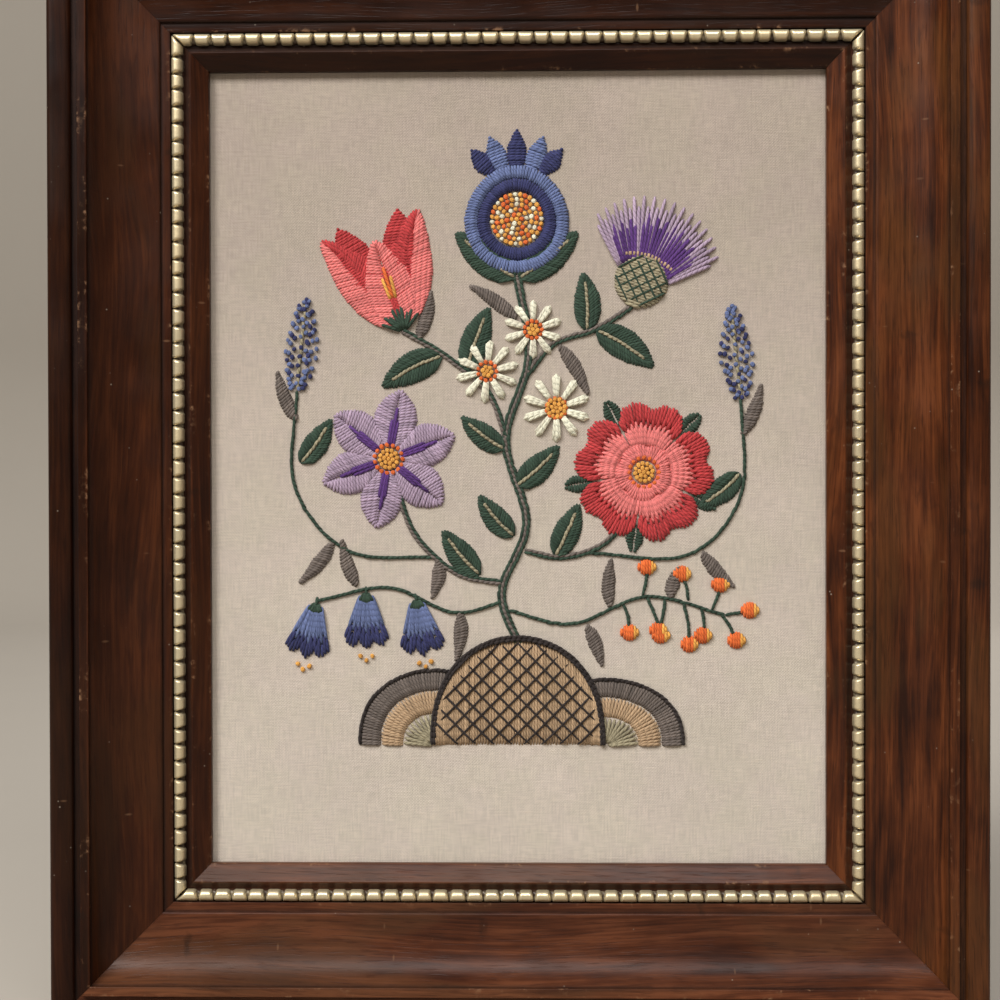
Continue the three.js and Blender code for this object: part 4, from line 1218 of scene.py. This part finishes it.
def work_tulip(work, long=52.0, wide=46.0):
    """Tulip: two coral petals behind, two bent outer petals in two tones, and a pink petal in front."""
    for side in (-1, 1):
        base = moved(TULIP, side * 0.1 * wide, 0.06 * long, side * 10)
        left, _, right = (turned(line, base) for line in blade(0.9 * long, 0.4 * wide, 1.1, 0.75, side * 0.02))
        work.satin(left[18:], right[18:], "coral")
    for side in (-1, 1):
        base = moved(TULIP, side * 0.06 * wide, 0, side * 14)
        petal = blade(0.96 * long, 0.47 * wide, 0.82, 0.72, side * 0.16)
        left, midrib, right = (turned(line, base) for line in petal)
        outer, inner = (left, right) if side < 0 else (right, left)
        work.satin(midrib[:-6], outer[6:], "pink", tier=0.25)
        work.satin(midrib[:-6], inner[6:], "coral", tier=0.25)
    front = (turned(line, TULIP) for line in blade(0.76 * long, 0.5 * wide, 0.8, 0.68))
    work.fishbone(*front, "pink", tier=0.55, slant=5)
    calyx = np.linspace(-1, 1, 9)
    tips = stacked(calyx * 0.2 * wide, (0.17 - 0.1 * np.abs(calyx) + 0.03 * (np.arange(9) % 2)) * long)
    work.lay(turned(stacked(calyx * 1.4, -2.0), TULIP), turned(tips, TULIP), "green", tier=1.0)
    across = np.array((-0.9, 0.0, 0.9))
    start = turned(stacked(across * 1.3, 0.22 * long), TULIP)
    end = turned(stacked(across * 2.2, long * (0.52 - 0.08 * np.abs(across))), TULIP)
    work.lay(start[::2], end[::2], "gold", tier=1.0)
    work.lay(start[1:2], end[1:2], "orange", tier=1.0)


def work_thistle(work, cup=12.0):
    """Thistle: a tuft of straight rays in two lengths over a trellised cup with a tan collar."""
    root = moved(THISTLE, 0, 4.0)
    for inner, reach, rays, half, thread, tier in ((15, 45, 33, 47, "lilac", 0.2), (15, 38, 25, 40, "violet", 0.45)):
        angle = np.radians(np.linspace(-half, half, rays))
        ray = stacked(np.sin(angle), np.cos(angle))
        tip = reach * (1 - 0.12 * np.linspace(-1, 1, rays) ** 2) * np.where(np.arange(rays) % 2, 1.0, 0.9)
        work.lay(turned(ray * inner, root), turned(ray * tip[:, None], root), thread, tier=tier, width=1.1)
    around = np.linspace(0, np.pi, 60)
    left = stacked(-np.sin(around) * cup, (1 - np.cos(around)) * cup)
    work.satin(turned(left, THISTLE), turned(left * (-1, 1), THISTLE), "sage", tier=0.5)
    offset = np.linspace(-0.78, 0.78, 6) * cup
    half = np.sqrt((0.98 * cup) ** 2 - offset ** 2)
    for slope in (-1, 1):
        along, across = np.array((1, slope)) / np.sqrt(2), np.array((-slope, 1)) / np.sqrt(2)
        middle = np.array((0, cup)) + across * offset[:, None]
        work.lay(turned(middle - along * half[:, None], THISTLE), turned(middle + along * half[:, None], THISTLE),
                 "green", tier=0.95, width=0.6)
    x = np.linspace(-0.8, 0.8, 14) * cup
    low = stacked(x, 1.72 * cup - 0.02 * x ** 2)
    top = stacked(x * 1.12, 2.1 * cup - 0.03 * x ** 2)
    work.lay(turned(low, THISTLE), turned(top, THISTLE), "tan", tier=0.9)


def work_marguerite(work, flower, petals=10):
    """Marguerite: petals of five strands fanned from one hole, round a knotted centre."""
    centre = np.array((flower.x, flower.y), float)
    across = np.array((-1, 0, 1, -0.5, 0.5))
    for petal in range(petals):
        toward = Place(flower.x, flower.y, flower.points + 360 / petals * petal)
        base = moved(toward, 0, 0.26 * flower.radius)
        tips = stacked(across * 0.085 * flower.radius, 0.74 * flower.radius * (1 - 0.1 * np.abs(across)))
        work.lay(turned(stacked(across * 0.4, 0.0), base), turned(tips, base), "cream", tier=0.6)
    work.knot(centre + disc_points(0.27 * flower.radius, 1.9), "gold", tier=0.6)
    work.knot(centre + ring_points(0.29 * flower.radius, 11), "orange", radius=0.95, tier=0.6)


def work_bell(work, flower, long=24.0, mouth=20.0, neck=5.6):
    """Bell: long-and-short stitch from a narrow neck to a scalloped navy mouth, with three hanging knots."""
    share = np.linspace(-1, 1, 50)
    lobe = 0.86 + 0.14 * np.abs(np.cos(1.5 * np.pi * share)) - 0.1 * np.abs(share)
    top = stacked(share * neck / 2, 0.0)
    lip = stacked(share * mouth / 2, long * lobe)
    work.shaded(turned(top, flower), turned(lip, flower), (("slate", 0, 0.66), ("navy", 0.64, 1)), tier=0.2)
    cap = np.linspace(-1, 1, 6)
    base = stacked(cap * 0.8, -1.2)
    work.lay(turned(base, flower), turned(stacked(cap * 0.62 * neck, 4.6 - 1.4 * np.abs(cap)), flower),
             "green", tier=0.7)
    work.stem(turned(np.linspace((0.0, -4.0), (0.0, 0.0), 8), flower), ("green",), tier=0.1)
    drops = np.array(((-2.6, 1.1 * long), (0, 1.18 * long), (2.6, 1.1 * long)))
    work.knot(turned(drops, flower), "gold")


def work_spike(work, spike, long=40.0, wide=13.0, knots=78):
    """Flower spike: knots in slanting rows up a spindle, slate and navy mixed."""
    work.stem(smooth_route(turned(np.array(((0.0, 0.0), (0, long / 2), (0, 0.96 * long))), spike)), ("sage",))
    t = (np.arange(knots) + 0.5) / knots
    lane = np.tile((-1.0, 0.3, 0.75, -0.5, 1.0, -0.05, -0.75, 0.5), knots)[:knots]
    half = wide / 2 * np.sin(np.pi * (0.1 + 0.88 * t)) ** 0.8
    at = stacked(lane * half, t * long) + work.random.uniform(-0.6, 0.6, (knots, 2))
    dark = work.random.uniform(0, 1, knots) < 0.4
    work.knot(turned(at[dark], spike), "navy", tier=0.25)
    work.knot(turned(at[~dark], spike), "slate", tier=0.25)


def work_berries(work, radius=3.8):
    """Berry spray: a stem-stitch branch with stalks, each ending in a satin berry lit on one side."""
    work.stem(smooth_route(BERRY_STEM.route), BERRY_STEM.rows)
    x = np.linspace(-0.88, 0.88, 7) * radius
    half = np.sqrt(radius ** 2 - x ** 2)
    for berry in BERRIES:
        tip = turned(np.array((0.0, berry.stalk)), berry)
        middle = (np.array((berry.x, berry.y)) + tip) / 2 + (0.8, 0)
        work.stem(smooth_route(((berry.x, berry.y), middle, tip)), ("green",), stride=2.0, reach=3.6)
        low, high = tip + stacked(x, -half), tip + stacked(x, half)
        work.lay(low[:5], high[:5], "orange", tier=0.55)
        work.lay(low[5:], high[5:], "gold", tier=0.55)


def work_green_leaf(work, leaf):
    """Fishbone leaf: stitches slant from a midrib towards the tip on both sides, with a sage vein on top."""
    left, midrib, right = (turned(line, leaf) for line in blade(leaf.long, leaf.wide, 0.85, 0.75, leaf.bend))
    work.fishbone(left, midrib, right, "green", tier=0.12, slant=10)
    work.stem(midrib[2:50], ("sage",), stride=2.2, reach=4.0, tier=0.55)


def work_taupe_leaf(work, leaf):
    """Slender leaf: slanting satin from edge to edge."""
    left, _, right = (turned(line, leaf) for line in blade(leaf.long, leaf.wide, 0.8, 0.8, leaf.bend))
    work.satin(left[:-6], right[6:], "taupe", tier=0.15)


def hill_brow(hill, count=90):
    """Half an ellipse over the hill's base, with its shoulders filled out by a power of the sine."""
    angle = np.pi * np.linspace(0, 1, count)
    return stacked(hill.x - hill.half * np.cos(angle), HILL_BASE + hill.high * np.sin(angle) ** HILL_SHOULDER)


def height_under(brow, x):
    """Height of a hill's brow at x, far below the picture beside the hill."""
    return np.interp(x, brow[:, 0], brow[:, 1], left=-999, right=-999)


def work_hillocks(work):
    """Hillocks: banded side hills behind a tan middle hill with a couched trellis, outlined in stem stitch."""
    front = hill_brow(MIDDLE_HILL)
    for hill in SIDE_HILLS:
        brow = hill_brow(hill)
        foot = np.array((hill.x, HILL_BASE), float)
        for thread, outer, inner in (("taupe", 1.0, 0.72), ("tan", 0.72, 0.42), ("sage", 0.42, 0.04)):
            work.satin(foot + (brow - foot) * inner, foot + (brow - foot) * outer, thread)
        work.drop_stitches(lambda points: points[:, 1] < height_under(front, points[:, 0]) - 1)
        seen = brow[:, 1] > height_under(front, brow[:, 0])
        work.stem(brow[seen], ("black",), tier=0.5)
    ground = stacked(front[:, 0], float(HILL_BASE))
    work.satin(ground[2:-2], front[2:-2], "tan", tier=0.55)
    for slope in (-1, 1):
        reach = np.linspace(-80, 80, 500)
        for offset in np.arange(-72, 73, TRELLIS_PITCH):
            line = stacked(reach, HILL_BASE + 22 + slope * reach + offset * 1.2)
            within = line[(line[:, 1] > HILL_BASE + 0.3) & (line[:, 1] < height_under(front, reach) - 0.4)]
            if len(within) > 12:
                work.lay(within[:1], within[-1:], "black", tier=1.45, width=0.62)
    work.stem(front, ("black", "black"), tier=1.2)


# Operators

def wool_finishes(settings):
    """The finish of each wool, made at its first use."""
    return {thread: bpy.data.materials.get("yarn_" + thread) or wool_finish(settings, thread) for thread in THREADS}


class CREWEL_OT_rails(bpy.types.Operator):
    """Sweep the four mitred walnut rails"""
    bl_idname = "crewel.rails"
    bl_label = "Walnut rails"

    def execute(self, context):
        settings = context.scene.crewel_frame
        for quarter_turns, side in enumerate(SIDES):
            finish_piece(rail_piece(side, settings, quarter_turns), ["rail_" + side.name])
        return {"FINISHED"}


class CREWEL_OT_beads(bpy.types.Operator):
    """Run the four notched gilt strips round the frame"""
    bl_idname = "crewel.beads"
    bl_label = "Gilt bead strips"

    def execute(self, context):
        settings = context.scene.crewel_frame
        finish = gilt_finish(settings)
        for quarter_turns, side in enumerate(SIDES):
            finish_piece(bead_piece(side, settings, finish, quarter_turns), ["bead_" + side.name])
        return {"FINISHED"}


class CREWEL_OT_linen(bpy.types.Operator):
    """Stretch the linen and finish the board behind it"""
    bl_idname = "crewel.linen"
    bl_label = "Linen and board"

    def execute(self, context):
        settings = context.scene.crewel_linen
        piece = linen_piece(settings, linen_finish(settings))
        finish_piece(piece, ["linen_panel"])
        board = bpy.data.objects["mounting_board"]
        board.data.materials.clear()
        board.data.materials.append(board_finish(settings))
        return {"FINISHED"}


class CREWEL_OT_hillocks(bpy.types.Operator):
    """Work the hillocks at the foot of the tree"""
    bl_idname = "crewel.hillocks"
    bl_label = "Hillocks"

    def execute(self, context):
        settings = context.scene.crewel_wool
        work = Needlework(settings, 1)
        work_hillocks(work)
        finish_piece(work.piece("hillock_stitches", wool_finishes(settings)), nodes_named("hillocks"))
        return {"FINISHED"}


class CREWEL_OT_foliage(bpy.types.Operator):
    """Work the trunk, the branches and all leaves"""
    bl_idname = "crewel.foliage"
    bl_label = "Tree and leaves"

    def execute(self, context):
        settings = context.scene.crewel_wool
        finishes = wool_finishes(settings)
        tree = Needlework(settings, 2)
        for stem in STEMS[::-1]:
            tree.stem(smooth_route(stem.route), stem.rows)
        for leaf in GREEN_LEAVES:
            work_green_leaf(tree, leaf)
        finish_piece(tree.piece("tree_stitches", finishes), nodes_named("tree"))
        slender = Needlework(settings, 3)
        for leaf in TAUPE_LEAVES:
            work_taupe_leaf(slender, leaf)
        finish_piece(slender.piece("taupe_leaf_stitches", finishes), nodes_named("taupe_leaf"))
        return {"FINISHED"}


class CREWEL_OT_blooms(bpy.types.Operator):
    """Work the five large flowers"""
    bl_idname = "crewel.blooms"
    bl_label = "Large flowers"

    def execute(self, context):
        settings = context.scene.crewel_wool
        finishes = wool_finishes(settings)
        flowers = (("pomegranate", work_pomegranate, "wool_blue"), ("tulip", work_tulip, "wool_coral"),
                   ("thistle", work_thistle, "wool_violet"), ("clematis", work_clematis, "wool_lilac"),
                   ("rose", work_rose, "wool_coral"))
        for seed, (name, stitch, slot) in enumerate(flowers):
            work = Needlework(settings, 10 + seed)
            stitch(work)
            finish_piece(work.piece(name + "_stitches", finishes), nodes_named(name))
        return {"FINISHED"}


class CREWEL_OT_sprigs(bpy.types.Operator):
    """Work the marguerites, bells, flower spikes and berries"""
    bl_idname = "crewel.sprigs"
    bl_label = "Small flowers and berries"

    def execute(self, context):
        settings = context.scene.crewel_wool
        finishes = wool_finishes(settings)
        groups = (("marguerite", MARGUERITES, work_marguerite, "wool_cream"),
                  ("bell", BELLS, work_bell, "wool_blue"), ("spike", SPIKES, work_spike, "wool_blue"))
        for seed, (name, places, stitch, slot) in enumerate(groups):
            work = Needlework(settings, 20 + seed)
            for place in places:
                stitch(work, place)
            finish_piece(work.piece(name + "_stitches", finishes), nodes_named(name))
        work = Needlework(settings, 30)
        work_berries(work)
        finish_piece(work.piece("berry_stitches", finishes), nodes_named("berry_spray"))
        return {"FINISHED"}


Lamp = namedtuple("Lamp", "name place wide high")
LAMPS = (Lamp("key", (-2.03, -2.25, 2.78), 1.5, 1.5), Lamp("front", (0.05, -1.0, 1.35), 0.9, 0.6),
         Lamp("rear", (1.0, 2.2, 2.4), 1.2, 1.2))
LAMP_TINT = (1.0, 0.99, 0.975)


def area_light(lamp, target, watts):
    """A soft rectangular light that faces the target."""
    data = bpy.data.lights.new(lamp.name, "AREA")
    data.shape = "RECTANGLE"
    data.size, data.size_y = lamp.wide, lamp.high
    data.energy = watts
    data.color = LAMP_TINT
    light = bpy.data.objects.new(lamp.name, data)
    light.location = lamp.place
    light.rotation_euler = (Vector(target) - Vector(lamp.place)).to_track_quat("-Z", "Y").to_euler()
    bpy.context.scene.collection.objects.link(light)


def stage_piece(settings):
    """Floor and backdrop: a line out along the floor, up a quarter-round cove and a wall, turned once round upright."""
    hub, reach, cove, tall, turns = 0.02, 2.6, 0.5, 1.5, 96
    angle = np.linspace(-np.pi / 2, 0, 16)
    bent = stacked(reach - cove + cove * np.cos(angle), cove + cove * np.sin(angle))
    line = np.vstack(((hub, 0.0), bent, (reach, tall)))
    around = np.arange(turns) * 2 * np.pi / turns
    out, up = line[:, :1], line[:, 1:]
    points = stacked(out * np.cos(around), out * np.sin(around), up).reshape(-1, 3)
    quads, ends = (corners[:, ::-1] for corners in tube_polygons(1, len(line), turns))
    middle = ends[:1]
    material, wires, surface = new_material("pale_stage")
    pale = np.array(settings.pale)
    cloud = wires.noise(wires.place(), 6.0, 3.0)
    wires.feed(surface.inputs["Base Color"], wires.blend(cloud, rgba(pale * 0.96), rgba(pale)))
    surface.inputs["Roughness"].default_value = 0.9
    return make_piece("stage_sweep", points, [quads, middle], [points[quads][..., :2], points[middle][..., :2]],
                      [material])


class CREWEL_OT_stage(bpy.types.Operator):
    """Set the floor, backdrop, lights and camera"""
    bl_idname = "crewel.stage"
    bl_label = "Stage"

    def execute(self, context):
        settings = context.scene.crewel_stage
        stage_piece(settings)
        for lamp in LAMPS:
            area_light(lamp, (0.0, 0.0, PICTURE_MIDDLE), getattr(settings, lamp.name + "_power"))
        world = bpy.data.worlds.new("surround")
        world.use_nodes = True
        surround = world.node_tree.nodes["Background"]
        surround.inputs["Color"].default_value = (1.0, 0.98, 0.96, 1.0)
        surround.inputs["Strength"].default_value = settings.surround
        context.scene.world = world
        context.scene.view_settings.view_transform = "Standard"
        camera = bpy.data.objects.new("camera", bpy.data.cameras.new("camera"))
        camera.data.sensor_width = 36.0
        camera.data.lens = settings.lens
        camera.data.clip_start = 0.01
        pitch, roll, yaw = settings.camera_turn
        camera.matrix_world = (Matrix.Translation(settings.camera_at) @ Matrix.Rotation(yaw, 4, "Z")
                               @ Matrix.Rotation(radians(90) + pitch, 4, "X") @ Matrix.Rotation(roll, 4, "Z"))
        context.scene.collection.objects.link(camera)
        context.scene.camera = camera
        return {"FINISHED"}


OPERATORS = (CREWEL_OT_rails, CREWEL_OT_beads, CREWEL_OT_linen, CREWEL_OT_hillocks, CREWEL_OT_foliage,
             CREWEL_OT_blooms, CREWEL_OT_sprigs, CREWEL_OT_stage)


class CREWEL_PT_panel(bpy.types.Panel):
    """Steps of the framed crewel panel"""
    bl_idname = "CREWEL_PT_panel"
    bl_label = "Framed crewel panel"
    bl_space_type = "VIEW_3D"
    bl_region_type = "UI"
    bl_category = "Crewel"

    def draw(self, context):
        for operator in OPERATORS:
            self.layout.operator(operator.bl_idname)


SETTINGS = (("crewel_frame", FrameSettings), ("crewel_linen", LinenSettings), ("crewel_wool", WoolSettings),
            ("crewel_stage", StageSettings))


def register():
    for label, group in SETTINGS:
        bpy.utils.register_class(group)
        setattr(bpy.types.Scene, label, PointerProperty(type=group))
    for item in OPERATORS + (CREWEL_PT_panel,):
        bpy.utils.register_class(item)


def unregister():
    for item in (CREWEL_PT_panel,) + OPERATORS[::-1]:
        bpy.utils.unregister_class(item)
    for label, group in SETTINGS[::-1]:
        delattr(bpy.types.Scene, label)
        bpy.utils.unregister_class(group)


def main():
    register()
    bpy.ops.crewel.rails()
    bpy.ops.crewel.beads()
    bpy.ops.crewel.linen()
    bpy.ops.crewel.hillocks()
    bpy.ops.crewel.foliage()
    bpy.ops.crewel.blooms()
    bpy.ops.crewel.sprigs()
    bpy.ops.crewel.stage()


if __name__ == "__main__":
    main()
